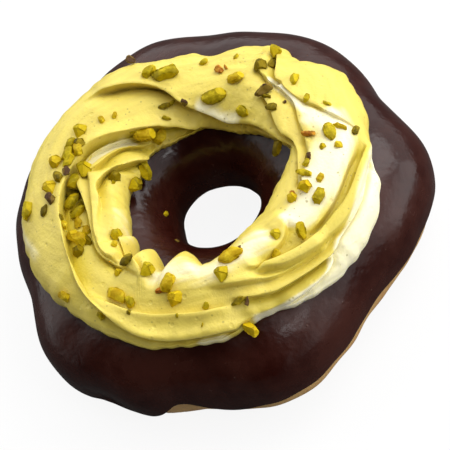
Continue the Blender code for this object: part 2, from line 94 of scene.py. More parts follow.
def through(points: Points, at: np.ndarray, round_ring: bool = True) -> np.ndarray:
    """Smooth curve through given points.

    Args:
        points: (place, value) pairs in rising order of place.
        at: Places to read the curve at.
        round_ring: Whether the curve closes after 360 degrees.

    Returns:
        The curve's values.
    """
    table = np.array(points, float)
    x, y = table[:, 0], table[:, 1]
    at = np.asarray(at, float)
    if round_ring:
        x = np.concatenate([x - 360, x, x + 360])
        y = np.concatenate([y, y, y])
        at = at % 360
    slope = np.gradient(y, x)
    span = np.clip(np.searchsorted(x, at, side="right") - 1, 0, len(x) - 2)
    step = x[span + 1] - x[span]
    part = np.clip((at - x[span]) / step, 0, 1)
    square, cube = part**2, part**3
    return (
        (2 * cube - 3 * square + 1) * y[span] + (cube - 2 * square + part) * step * slope[span]
        + (3 * square - 2 * cube) * y[span + 1] + (cube - square) * step * slope[span + 1]
    )


def lobes(table: Points, direction: np.ndarray) -> np.ndarray:
    """Sum of rounded lobes, each (direction, height, half width)."""
    total = np.zeros_like(np.asarray(direction, float))
    for centre, height, half_width in table:
        total = total + height * bell(around_from(direction, centre), half_width)
    return total


def knobs(table: Points, direction: np.ndarray) -> np.ndarray:
    """Sum of round-topped knobs with sharp gaps between them, each (direction, height, half width)."""
    total = np.zeros_like(np.asarray(direction, float))
    for centre, height, half_width in table:
        away = around_from(direction, centre) / half_width
        total = total + height * np.maximum(1 - away**2, 0)
    return total


@dataclass(frozen=True)
class Ripples:
    """Low uneven swelling of a hand-made surface, from a few seeded waves."""

    seed: int
    height: float
    turns_round: tuple[int, int]
    turns_across: tuple[float, float]
    waves: int = 14

    def at(self, direction: np.ndarray, place: np.ndarray) -> np.ndarray:
        """Height at a direction and a place across, about 0 on average."""
        draw = random.Random(self.seed)
        total = 0.0
        for _ in range(self.waves):
            round_count = draw.randint(*self.turns_round)
            across_count = draw.uniform(*self.turns_across) * draw.choice((-1, 1))
            start = draw.uniform(0, 2 * math.pi)
            phase = np.radians(direction) * round_count + 2 * math.pi * across_count * place + start
            total = total + np.sin(phase)
        return total * self.height / math.sqrt(self.waves / 2)


# ---------------------------------------------------------------- form of the ring
@dataclass(frozen=True)
class RingForm:
    """Outside of the glazed ring, and the strip of it that the cream covers."""

    outer_radius: float = 49.4
    hole_radius: float = 10.4
    height: float = 28.0
    waist: float = 13.0
    foot_depth: float = 1.2
    glaze: float = 1.0
    clearance: float = 0.3
    upper_power: float = 0.92
    belly_power: float = 0.64
    hole_power: float = 0.86
    foot_power: float = 0.80
    tube_share: float = 0.9
    outline_steps: int = 60
    outline_turns: tuple[int, int, int] = (-60, 60, 25)
    outer_lobes: Points = (
        (1, -2.0, 13), (27, 1.1, 17), (84, 3.1, 15), (146, 0.6, 17), (172, -1.3, 14), (200, 3.0, 15),
        (222, 1.1, 12), (240, -0.9, 10), (263, 2.4, 13), (297, -3.0, 15), (337, 3.1, 16))
    hole_lobes: Points = ((300, 2.1, 60), (165, -2.1, 45))
    outer_rim: Points = (
        (20, -31), (60, -26), (100, -34), (150, -29), (195, -36), (213, -13), (222, -24), (235, 0),
        (248, -15), (258, -6), (267, -7), (276, -8), (284, -8), (296, -8), (312, -9), (328, -9), (348, -28))
    hole_rim: Points = (
        (15, 220), (60, 210), (95, 208), (130, 219), (190, 224), (250, 217), (310, 222))
    strip_outer: Points = (
        (0, 48), (30, 52), (65, 59), (95, 49), (120, 40), (160, 38), (178, 49), (195, 61), (212, 64),
        (235, 60), (262, 65), (278, 58), (297, 45), (330, 53), (350, 55))
    strip_inner: Points = (
        (0, 118), (30, 130), (60, 129), (92, 121), (125, 131), (150, 129), (180, 130), (220, 124),
        (260, 123), (290, 128), (320, 127), (346, 118))

    def skin(self, direction: np.ndarray, turn: np.ndarray, inset: np.ndarray = 0.0) -> np.ndarray:
        """Point on the glazed outside.

        Args:
            direction: Degrees round the ring.
            turn: Degrees round the tube.
            inset: Depth under the outside, in mm.

        Returns:
            Points in mm, with the last axis x, y, z.
        """
        around, across = np.radians(direction), np.radians(turn)
        outer = self.outer_radius + lobes(self.outer_lobes, direction) - inset
        inner = self.hole_radius + lobes(self.hole_lobes, direction) + inset
        middle, half_width = (outer + inner) / 2, (outer - inner) / 2
        upper = np.sin(across) > 0
        rise = np.where(upper, self.height - inset - self.waist, self.waist + self.foot_depth)
        lower_power = np.where(np.cos(across) > 0, self.belly_power, self.hole_power)
        cosine_power = np.where(upper, self.upper_power, lower_power)
        sine_power = np.where(upper, self.upper_power, self.foot_power)
        radius = middle + half_width * signed_power(np.cos(across), cosine_power)
        height = np.maximum(self.waist + rise * signed_power(np.sin(across), sine_power), 0)
        return np.stack([radius * np.cos(around), radius * np.sin(around), height], axis=-1)

    def normal(self, direction: np.ndarray, turn: np.ndarray) -> np.ndarray:
        """Outward normal, from points half a degree to each side."""
        along = self.skin(direction + 0.5, turn) - self.skin(direction - 0.5, turn)
        across = self.skin(direction, turn + 0.5) - self.skin(direction, turn - 0.5)
        normal = np.cross(along, across)
        return normal / np.linalg.norm(normal, axis=-1, keepdims=True)

    def strip(self, direction: np.ndarray) -> tuple[np.ndarray, np.ndarray, np.ndarray]:
        """Turns of the cream strip's two edges, and its width in mm."""
        outer_turn = through(self.strip_outer, direction)
        inner_turn = through(self.strip_inner, direction)
        tube_radius = (self.outer_radius - self.hole_radius) / 2 * self.tube_share
        return outer_turn, inner_turn, np.radians(inner_turn - outer_turn) * tube_radius

    def middle_offset(self) -> np.ndarray:
        """Where this form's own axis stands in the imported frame, in mm, read off the dough's box."""
        direction = even_directions(self.outline_steps)
        turns = np.linspace(*self.outline_turns)[None, :] + 0 * direction
        outline = self.skin(direction, turns, self.glaze + self.clearance)[..., :2].reshape(-1, 2)
        own = (outline.min(axis=0) + outline.max(axis=0)) / 2
        low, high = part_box("dough_ring")
        packed = (np.array(low[:2]) + np.array(high[:2])) / 2 / MM
        return np.array([*(packed - own), 0.0])


# ---------------------------------------------------------------- modelling helpers
class Bench:
    """Where pieces are started from primitives and finished."""

    weld = 1e-7

    @staticmethod
    def clear_selection() -> None:
        """Nothing stays selected before a new piece is started."""
        if bpy.context.object and bpy.context.object.mode != "OBJECT":
            bpy.ops.object.mode_set(mode="OBJECT")
        bpy.ops.object.select_all(action="DESELECT")

    @classmethod
    def ring(cls, name: str, grid: np.ndarray,
             paint: dict[str, np.ndarray] | None = None) -> bpy.types.Object:
        """Closed ring: a flat sheet is pulled to a grid of places, and its edges are welded together.

        Args:
            name: Name of the piece.
            grid: Places in mm by step round the ring and row round the tube.
            paint: Values or vectors by step and row, kept as named attributes.

        Returns:
            The finished object at the origin.
        """
        steps, rows = grid.shape[:2]
        cls.clear_selection()
        size = float(np.ptp(grid)) * MM
        bpy.ops.mesh.primitive_grid_add(x_subdivisions=steps, y_subdivisions=rows, size=size)
        ring = bpy.context.object
        ring.name = ring.data.name = name
        ring.data.vertices.foreach_set("co", cls.closed(grid * MM))
        for label, values in (paint or {}).items():
            vector = values.ndim == 3
            layer = ring.data.attributes.new(label, "FLOAT_VECTOR" if vector else "FLOAT", "POINT")
            layer.data.foreach_set("vector" if vector else "value", cls.closed(values))
        ring.data.update()
        bpy.ops.object.mode_set(mode="EDIT")
        bpy.ops.mesh.select_all(action="SELECT")
        bpy.ops.mesh.remove_doubles(threshold=cls.weld)
        bpy.ops.object.mode_set(mode="OBJECT")
        bpy.ops.object.shade_smooth()
        return ring

    @staticmethod
    def closed(values: np.ndarray) -> np.ndarray:
        """Values by step and row, with the first of each repeated at the end, row after row."""
        joined = np.concatenate([values, values[:1]], axis=0)
        joined = np.concatenate([joined, joined[:, :1]], axis=1)
        return np.swapaxes(joined, 0, 1).astype(np.float32).ravel()

    @staticmethod
    def dress(piece: bpy.types.Object, material: bpy.types.Material, slot: str) -> bpy.types.Object:
        """Give a piece its finish and its body."""
        piece.data.materials.clear()
        piece.data.materials.append(material)
        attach(piece, "root")
        return piece


# ---------------------------------------------------------------- shader building
class Graph:
    """Adds and joins the nodes of one material or node group."""

    def __init__(self, tree: bpy.types.NodeTree) -> None:
        """Work on a node tree."""
        self.tree = tree

    def node(self, kind: str, **settings: object) -> bpy.types.Node:
        """Add a node. Settings are its properties; a name that starts with in_ is an input's value."""
        made = self.tree.nodes.new(kind)
        inputs = {name[3:]: value for name, value in settings.items() if name.startswith("in_")}
        for name, value in settings.items():
            if not name.startswith("in_"):
                setattr(made, name, value)
        return self.fill(made, **inputs)

    def fill(self, node: bpy.types.Node, **values: object) -> bpy.types.Node:
        """Feed a node's inputs by their names, with _ for a space."""
        for name, value in values.items():
            self.feed(node.inputs[name.replace("_", " ")], value)
        return node

    def feed(self, socket: bpy.types.NodeSocket, value: object) -> None:
        """Link a socket, or set its value."""
        if isinstance(value, bpy.types.NodeSocket):
            self.tree.links.new(value, socket)
        else:
            socket.default_value = value

    def attribute(self, name: str, vector: bool = False) -> bpy.types.NodeSocket:
        """Value or vector of a named attribute."""
        made = self.node("ShaderNodeAttribute", attribute_name=name)
        return made.outputs["Vector" if vector else "Fac"]

    def place(self) -> bpy.types.NodeSocket:
        """Object coordinates."""
        return self.node("ShaderNodeTexCoord").outputs["Object"]

    def math(self, operation: str, first: object, second: object = 0.0) -> bpy.types.NodeSocket:
        """One sum on values."""
        made = self.node("ShaderNodeMath", operation=operation)
        self.feed(made.inputs[0], first)
        self.feed(made.inputs[1], second)
        return made.outputs[0]

    def times(self, first: object, second: object) -> bpy.types.NodeSocket:
        """Two values multiplied."""
        return self.math("MULTIPLY", first, second)

    def remap(self, value: object, low: float, high: float, out_low: float = 0.0,
              out_high: float = 1.0) -> bpy.types.NodeSocket:
        """Smoothly remap a value's range."""
        made = self.node("ShaderNodeMapRange", interpolation_type="SMOOTHSTEP")
        for socket, given in zip(made.inputs[:5], (value, low, high, out_low, out_high)):
            self.feed(socket, given)
        return made.outputs[0]

    def mix(self, factor: object, first: object, second: object) -> bpy.types.NodeSocket:
        """Mix two colours, whose sockets come after those for numbers and vectors."""
        made = self.node("ShaderNodeMix", data_type="RGBA")
        self.feed(made.inputs[0], factor)
        self.feed(made.inputs[6], first)
        self.feed(made.inputs[7], second)
        return made.outputs[2]

    def noise(self, vector: object, scale: float, detail: float = 3.0,
              roughness: float = 0.5) -> bpy.types.NodeSocket:
        """Cloudy noise from 0 to 1."""
        made = self.node("ShaderNodeTexNoise", in_Vector=vector, in_Scale=scale, in_Detail=detail,
                         in_Roughness=roughness)
        return made.outputs["Fac"]

    def group(self, tree: bpy.types.NodeTree, **values: object) -> bpy.types.NodeSocket:
        """What a node group gives for these values."""
        return self.fill(self.node("ShaderNodeGroup", node_tree=tree), **values).outputs[0]

    def bump(self, height: object, strength: float, distance: float,
             under: object = None) -> bpy.types.NodeSocket:
        """Relief from a height; distance is its depth in metres."""
        made = self.node("ShaderNodeBump", in_Strength=strength, in_Distance=distance, in_Height=height)
        if under is not None:
            self.feed(made.inputs["Normal"], under)
        return made.outputs["Normal"]


def new_group(name: str, inputs: dict[str, float | None], output: str) -> bpy.types.NodeTree:
    """Empty shader node group.

    Args:
        name: Name of the effect.
        inputs: Default of each input: a number, or None for a vector.
        output: Name of the value that comes out.

    Returns:
        The group with its sockets and its input and output nodes.
    """
    tree = bpy.data.node_groups.new(name, "ShaderNodeTree")
    for label, default in inputs.items():
        kind = "NodeSocketVector" if default is None else "NodeSocketFloat"
        socket = tree.interface.new_socket(name=label, in_out="INPUT", socket_type=kind)
        if default is not None:
            socket.default_value = default
    tree.interface.new_socket(name=output, in_out="OUTPUT", socket_type="NodeSocketFloat")
    tree.nodes.new("NodeGroupInput").name = "in"
    tree.nodes.new("NodeGroupOutput").name = "out"
    return tree


class Effects:
    """Surface effects that several finishes share."""

    def __init__(self) -> None:
        """Build each group once."""
        self.flecks = self.make_flecks()
        self.mottle = self.make_mottle()

    @staticmethod
    def make_flecks() -> bpy.types.NodeTree:
        """Scattered round dots: Scale sets how close they lie, Size their radius, Share how many show."""
        tree = new_group("flecks", {"Vector": None, "Scale": 500.0, "Size": 0.2, "Share": 0.3}, "Mask")
        graph = Graph(tree)
        given = tree.nodes["in"].outputs
        cells = graph.node("ShaderNodeTexVoronoi", in_Vector=given["Vector"], in_Scale=given["Scale"])
        split = graph.node("ShaderNodeSeparateColor", in_Color=cells.outputs["Color"])
        least_size, sharpness = 0.45, 2.0
        size = graph.times(given["Size"], graph.math("ADD", split.outputs["Green"], least_size))
        dot = graph.math("SUBTRACT", 1.0, graph.math("DIVIDE", cells.outputs["Distance"], size))
        chosen = graph.math("LESS_THAN", split.outputs["Red"], given["Share"])
        soft = graph.math("MINIMUM", graph.times(graph.math("MAXIMUM", dot, 0.0), sharpness), 1.0)
        graph.fill(tree.nodes["out"], Mask=graph.times(soft, chosen))
        return tree

    @staticmethod
    def make_mottle() -> bpy.types.NodeTree:
        """Broad and fine unevenness together, from 0 to 1 about 0.5."""
        inputs = {"Vector": None, "Broad": 60.0, "Fine": 400.0, "Fine share": 0.4}
        tree = new_group("mottle", inputs, "Value")
        graph = Graph(tree)
        given = tree.nodes["in"].outputs
        broad = graph.noise(given["Vector"], given["Broad"])
        fine = graph.noise(given["Vector"], given["Fine"], detail=4.0, roughness=0.6)
        gap = graph.math("SUBTRACT", fine, broad)
        graph.fill(tree.nodes["out"], Value=graph.math("ADD", broad, graph.times(gap, given["Fine share"])))
        return tree


def new_material(name: str) -> tuple[bpy.types.Material, Graph, bpy.types.Node]:
    """Material with its graph and its Principled shader."""
    material = bpy.data.materials.new(name)
    material.use_nodes = True
    return material, Graph(material.node_tree), material.node_tree.nodes["Principled BSDF"]


# ---------------------------------------------------------------- finishes
@dataclass(frozen=True)
class DoughFinish:
    """Fried yeast dough: pale round the waist, golden brown where it lay in the oil."""

    pale: Colour = (0.50, 0.30, 0.105, 1)
    tan: Colour = (0.42, 0.185, 0.048, 1)
    brown: Colour = (0.25, 0.088, 0.022, 1)
    crust_heights: tuple[float, float] = (0.0008, 0.0045)
    pale_heights: tuple[float, float] = (0.0027, 0.0085)
    toast_heights: tuple[float, float] = (0.0150, 0.0185)
    wander: float = 0.008
    # How far painted shade darkens the pores.
    pore_shade: float = 0.35

    def material(self, effects: Effects) -> bpy.types.Material:
        """Build the finish from the shared effects."""
        material, graph, shader = new_material("fried_dough")
        place = graph.place()
        height = graph.node("ShaderNodeSeparateXYZ", in_Vector=place).outputs["Z"]
        uneven = graph.group(effects.mottle, Vector=place, Broad=90.0, Fine=700.0, Fine_share=0.35)
        level = graph.math("ADD", height, graph.times(graph.math("SUBTRACT", uneven, 0.5), self.wander))
        crust = graph.mix(graph.remap(level, *self.crust_heights), self.brown, self.tan)
        ring = graph.mix(graph.remap(level, *self.pale_heights), crust, self.pale)
        toast = graph.mix(graph.remap(level, *self.toast_heights), ring, self.tan)
        # Painted shade: the pores are darkened towards the crust colour, as shade in them would make them.
        pores = graph.group(effects.flecks, Vector=place, Scale=900.0, Size=0.32, Share=0.22)
        grain = graph.math("SUBTRACT", uneven, pores)
        graph.fill(
            shader,
            Base_Color=graph.mix(graph.times(pores, self.pore_shade), toast, self.brown),
            Roughness=0.62,
            Subsurface_Weight=0.12,
            Subsurface_Radius=(1.0, 0.5, 0.2),
            Subsurface_Scale=0.0012,
            Normal=graph.bump(grain, strength=0.35, distance=0.0004))
        return material


@dataclass(frozen=True)
class GlazeFinish:
    """Dark chocolate glaze: satin, with fine dimples and a few dull specks."""

    dark: Colour = (0.021, 0.0032, 0.0019, 1)
    warm: Colour = (0.044, 0.0115, 0.0075, 1)
    speck: Colour = (0.085, 0.045, 0.032, 1)
    roughness: tuple[float, float] = (0.17, 0.31)
    speck_strength: float = 0.6

    def material(self, effects: Effects) -> bpy.types.Material:
        """Build the finish from the shared effects."""
        material, graph, shader = new_material("dark_chocolate")
        place = graph.place()
        uneven = graph.group(effects.mottle, Vector=place, Broad=55.0, Fine=260.0, Fine_share=0.3)
        body = graph.mix(graph.remap(uneven, 0.35, 0.68), self.dark, self.warm)
        specks = graph.group(effects.flecks, Vector=place, Scale=420.0, Size=0.10, Share=0.16)
        dimples = graph.noise(place, scale=620.0, roughness=0.6)
        waves = graph.noise(place, scale=120.0, roughness=0.6)
        fine = graph.bump(graph.math("ADD", dimples, specks), strength=0.28, distance=0.00030)
        graph.fill(
            shader,
            Base_Color=graph.mix(graph.times(specks, self.speck_strength), body, self.speck),
            Roughness=graph.remap(uneven, 0.3, 0.7, *self.roughness),
            Specular_IOR_Level=0.24,
            Normal=graph.bump(waves, strength=0.30, distance=0.0012, under=fine))
        return material


@dataclass(frozen=True)
class CreamFinish:
    """Whipped pistachio cream streaked with vanilla, with painted highlights in the vanilla colour and
    painted shade in its hollows.
    """

    pistachio: Colour = (0.78, 0.635, 0.120, 1)
    olive: Colour = (0.60, 0.47, 0.085, 1)
    # Pale colour of the vanilla streaks, used also for the painted highlights.
    vanilla_and_highlight: Colour = (0.93, 0.87, 0.58, 1)
    # Painted shade: the deeper, yellower colour laid in the creases.
    crease_shade: Colour = (0.66, 0.54, 0.05, 1)
    speck: Colour = (0.33, 0.27, 0.06, 1)
    cloud_share: float = 0.5
    olive_strength: float = 0.6
    pale_streak_ragged: float = 0.55
    speck_strength: float = 0.62

    def colour(self, graph: Graph, effects: Effects, streaks: bpy.types.NodeSocket) -> bpy.types.NodeSocket:
        """Streaked green and vanilla, with painted highlights in the vanilla colour, painted shade in the
        creases and the ground pistachio in it.
        """
        place = graph.place()
        cloud = graph.times(graph.noise(place, scale=110.0), self.cloud_share)
        tint = graph.times(graph.remap(graph.math("ADD", streaks, cloud), 0.52, 1.0), self.olive_strength)
        green = graph.mix(tint, self.pistachio, self.olive)
        # Painted shade: the creases take the deeper colour, as shade and light bounced in them would give
        # them.
        shade = graph.mix(graph.attribute("crease_shade"), green, self.crease_shade)
        stray = graph.times(graph.math("SUBTRACT", streaks, 0.5), self.pale_streak_ragged)
        ragged = graph.math("ADD", graph.attribute("vanilla_and_highlight"), stray)
        # Vanilla streaks and painted highlights, mixed in with the same pale colour.
        mixed = graph.mix(graph.remap(ragged, 0.25, 0.75), shade, self.vanilla_and_highlight)
        specks = graph.group(effects.flecks, Vector=place, Scale=900.0, Size=0.20, Share=0.26)
        crumbs = graph.group(effects.flecks, Vector=place, Scale=430.0, Size=0.14, Share=0.13)
        dots = graph.times(graph.math("MAXIMUM", specks, crumbs), self.speck_strength)
        return graph.mix(dots, mixed, self.speck)

    def material(self, effects: Effects) -> bpy.types.Material:
        """Build the finish from the shared effects."""
        material, graph, shader = new_material("pistachio_cream")
        place = graph.place()
        streaks = graph.noise(graph.attribute("flow", vector=True), scale=1.0)
        pits = graph.group(effects.flecks, Vector=place, Scale=560.0, Size=0.24, Share=0.22)
        grain = graph.math("SUBTRACT", graph.noise(place, scale=1300.0), pits)
        fine = graph.bump(grain, strength=0.45, distance=0.00028)
        graph.fill(
            shader,
            Base_Color=self.colour(graph, effects, streaks),
            Roughness=0.42,
            Specular_IOR_Level=0.32,
            Subsurface_Weight=0.18,
            Subsurface_Radius=(0.8, 0.8, 0.25),
            Subsurface_Scale=0.0015,
            Normal=graph.bump(streaks, strength=0.30, distance=0.0005, under=fine))
        return material


@dataclass(frozen=True)
class KernelFinish:
    """Chopped pistachio: a colour where the knife went through, the kernel's outside, and a vein's."""

    name: str
    cut: Colour
    outside: Colour
    vein: Colour

    def material(self, effects: Effects) -> bpy.types.Material:
        """Build the finish from the shared effects."""
        material, graph, shader = new_material(self.name)
        uneven = graph.group(effects.mottle, Vector=graph.place(), Broad=420.0, Fine=1500.0, Fine_share=0.4)
        face = graph.mix(graph.attribute("knife_cut"), self.outside, self.cut)
        graph.fill(
            shader,
            Base_Color=graph.mix(graph.remap(uneven, 0.42, 0.70), face, self.vein),
            Roughness=0.55,
            Specular_IOR_Level=0.1,
            Subsurface_Weight=0.10,
            Subsurface_Radius=(0.8, 1.0, 0.2),
            Subsurface_Scale=0.0008,
            Normal=graph.bump(uneven, strength=0.55, distance=0.0004))
        return material


@dataclass(frozen=True)
class FloorFinish:
    """Plain white board: bright in the picture, and dim in what the glaze mirrors."""

    board: Colour = (0.10, 0.10, 0.10, 1)
    cloud: Colour = (0.08, 0.08, 0.08, 1)
    bounce: Colour = (0.45, 0.45, 0.45, 1)
    glow: float = 0.9

    def material(self) -> bpy.types.Material:
        """Build the finish."""
        material, graph, shader = new_material("white_board")
        path = graph.node("ShaderNodeLightPath")
        bounce = graph.mix(path.outputs["Is Diffuse Ray"], BLACK, self.bounce)
        graph.fill(
            shader,
            Base_Color=graph.mix(graph.noise(graph.place(), scale=8.0), self.board, self.cloud),
            Emission_Color=graph.mix(path.outputs["Is Camera Ray"], bounce, WHITE),
            Emission_Strength=self.glow,
            Roughness=0.9,
            Specular_IOR_Level=0.1)
        return material


# ---------------------------------------------------------------- dough
@dataclass
class DoughRing:
    """The fried ring under the glaze."""

    form: RingForm
    offset: np.ndarray
    steps: int = 240
    covered_rows: int = 24
    bare_rows: int = 14
    foot_turns: tuple[float, ...] = (245.0, 257.0, 270.0, 283.0, 295.0)
    swell: float = 0.5
    swell_turns: float = 14.0
    calm_height: float = 4.0
    lumps: Ripples = Ripples(3, 0.10, (5, 30), (0.01, 0.03))

    def grid(self) -> np.ndarray:
        """Places of the dough's surface, fuller where it is bare and flat at its foot."""
        direction = even_directions(self.steps)
        first = through(self.form.outer_rim, direction)
        last = through(self.form.hole_rim, direction)
        foot = np.tile(self.foot_turns, (self.steps, 1))
        covered = first + (last - first) * np.linspace(0, 1, self.covered_rows)[None, :]
        bare = np.linspace(0, 1, self.bare_rows)[None, 1:-1]
        down = last + (foot[:, :1] - last) * bare
        up = foot[:, -1:] + (first + 360 - foot[:, -1:]) * bare
        turns = np.concatenate([covered, down, foot, up], axis=1)
        past_hole_rim = np.maximum(turns - last, 0) * (turns < FOOT_TURN)
        past_outer_rim = (first + 360 - turns) * (turns > FOOT_TURN)
        full = self.swell * smooth_step(np.maximum(past_hole_rim, past_outer_rim) / self.swell_turns)
        points = self.form.skin(direction, turns, self.form.glaze + self.form.clearance - full)
        above = smooth_step(points[..., 2:] / self.calm_height)
        lumps = self.lumps.at(direction, turns)[..., None]
        return points + self.form.normal(direction, turns) * above * lumps

    def build(self, effects: Effects) -> bpy.types.Object:
        """Shape and dress the dough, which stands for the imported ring."""
        ring = Bench.ring("fried_dough_ring", self.grid() + self.offset)
        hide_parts("dough_ring")
        return Bench.dress(ring, DoughFinish().material(effects), "dough")


# ---------------------------------------------------------------- glaze
@dataclass
class ChocolateGlaze:
    """The coat of dark chocolate, with a rounded lower edge.

    A dent is (direction, turn, depth, half width round the ring, half width round the tube).
    """

    form: RingForm
    offset: np.ndarray
    steps: int = 400
    outside_rows: int = 96
    underside_rows: int = 20
    gathering: float = 0.20
    rim_round: float = 3.4
    rim_inset: float = 0.72
    calm: float = 0.9
    calm_turns: float = 40.0
    wander: Ripples = Ripples(5, 0.55, (9, 34), (0.0, 0.0))
    lumps: Ripples = Ripples(8, 0.11, (6, 26), (0.004, 0.014))
    dents: Points = (
        (212, -4, 0.9, 7, 16), (224, 8, -0.3, 6, 16), (176, 14, 0.5, 8, 18), (300, 26, 0.4, 10, 14))

    def relief(self, direction: np.ndarray, turn: np.ndarray) -> np.ndarray:
        """Swelling and dents of the poured coat in mm, calmer on the side of the hole."""
        calm = self.calm * smooth_step((turn - TOP_TURN) / self.calm_turns)
        total = self.lumps.at(direction, turn) * (1 - calm)
        for at, turned, depth, wide, high in self.dents:
            total = total - depth * bell(around_from(direction, at), wide) * bell(turn - turned, high)
        return total

    def rims(self, direction: np.ndarray) -> tuple[np.ndarray, np.ndarray]:
        """Turns of the coat's lower edge outside and in the hole."""
        wander = self.wander.at(direction, 0.0)
        outer, inner = through(self.form.outer_rim, direction), through(self.form.hole_rim, direction)
        return outer + wander, inner - wander

    def grid(self) -> np.ndarray:
        """Places of the outside from edge to edge, then of the underside back again."""
        direction = even_directions(self.steps)
        first, last = self.rims(direction)
        even = np.linspace(-1, 1, self.outside_rows)
        curved = np.sin(even * math.pi / 2) ** 3
        gathered = ((1 - self.gathering) * even + self.gathering * curved + 1) / 2
        outside = first + (last - first) * gathered[None, :]
        to_rim = np.minimum(outside - first, last - outside) / self.rim_round
        edge = 1 - np.sqrt(np.maximum(1 - (1 - np.clip(to_rim, 0, 1)) ** 2, 0))
        relief = (self.relief(direction, outside) * smooth_step(to_rim))[..., None]
        top = self.form.skin(direction, outside, self.rim_inset * edge)
        top = top + self.form.normal(direction, outside) * relief
        inside = first + (last - first) * np.linspace(1, 0, self.underside_rows)[None, :]
        under = self.form.skin(direction, inside, self.form.glaze)
        return np.concatenate([top, under], axis=1)

    def build(self, effects: Effects) -> bpy.types.Object:
        """Shape and dress the glaze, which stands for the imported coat."""
        coat = Bench.ring("poured_chocolate_glaze", self.grid() + self.offset)
        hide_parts("chocolate_glaze")
        return Bench.dress(coat, GlazeFinish().material(effects), "glaze")


# ---------------------------------------------------------------- cream
INNER, OUTER = 1, -1


@dataclass(frozen=True)
class Fold:
    """A crease of the cream. One side stands up as a lip that leans over a groove on the other.

    side is INNER where the side towards the hole stands up and OUTER where the outer one does. Heights,
    depths, widths and lean are in mm, and the route is (direction, across). bead is a thin rise along the
    lip's edge, crease a sharp cut at the groove's, and the last field how deep the painted shade in
    the groove is. fade is over how many degrees the fold rises at its start and dies away at its end.
    """

    side: int
    lip: float
    lip_width: float
    groove: float
    groove_width: float
    lean: float
    route: Points
    bead: float = 0.25
    crease: float = 0.8
    fade: tuple[float, float] = (9.0, 9.0)
    # How deep the painted shade in the groove is.
    groove_shade: float = 1.0


@dataclass(frozen=True)
class Band:
    """A soft band along a route of (direction, across): a swell in mm, or a pale streak, which is vanilla
    cream in some bands and painted highlight in others.
    """

    amount: float
    outer_width: float
    inner_width: float
    route: Points
    fade: tuple[float, float] = (9.0, 9.0)


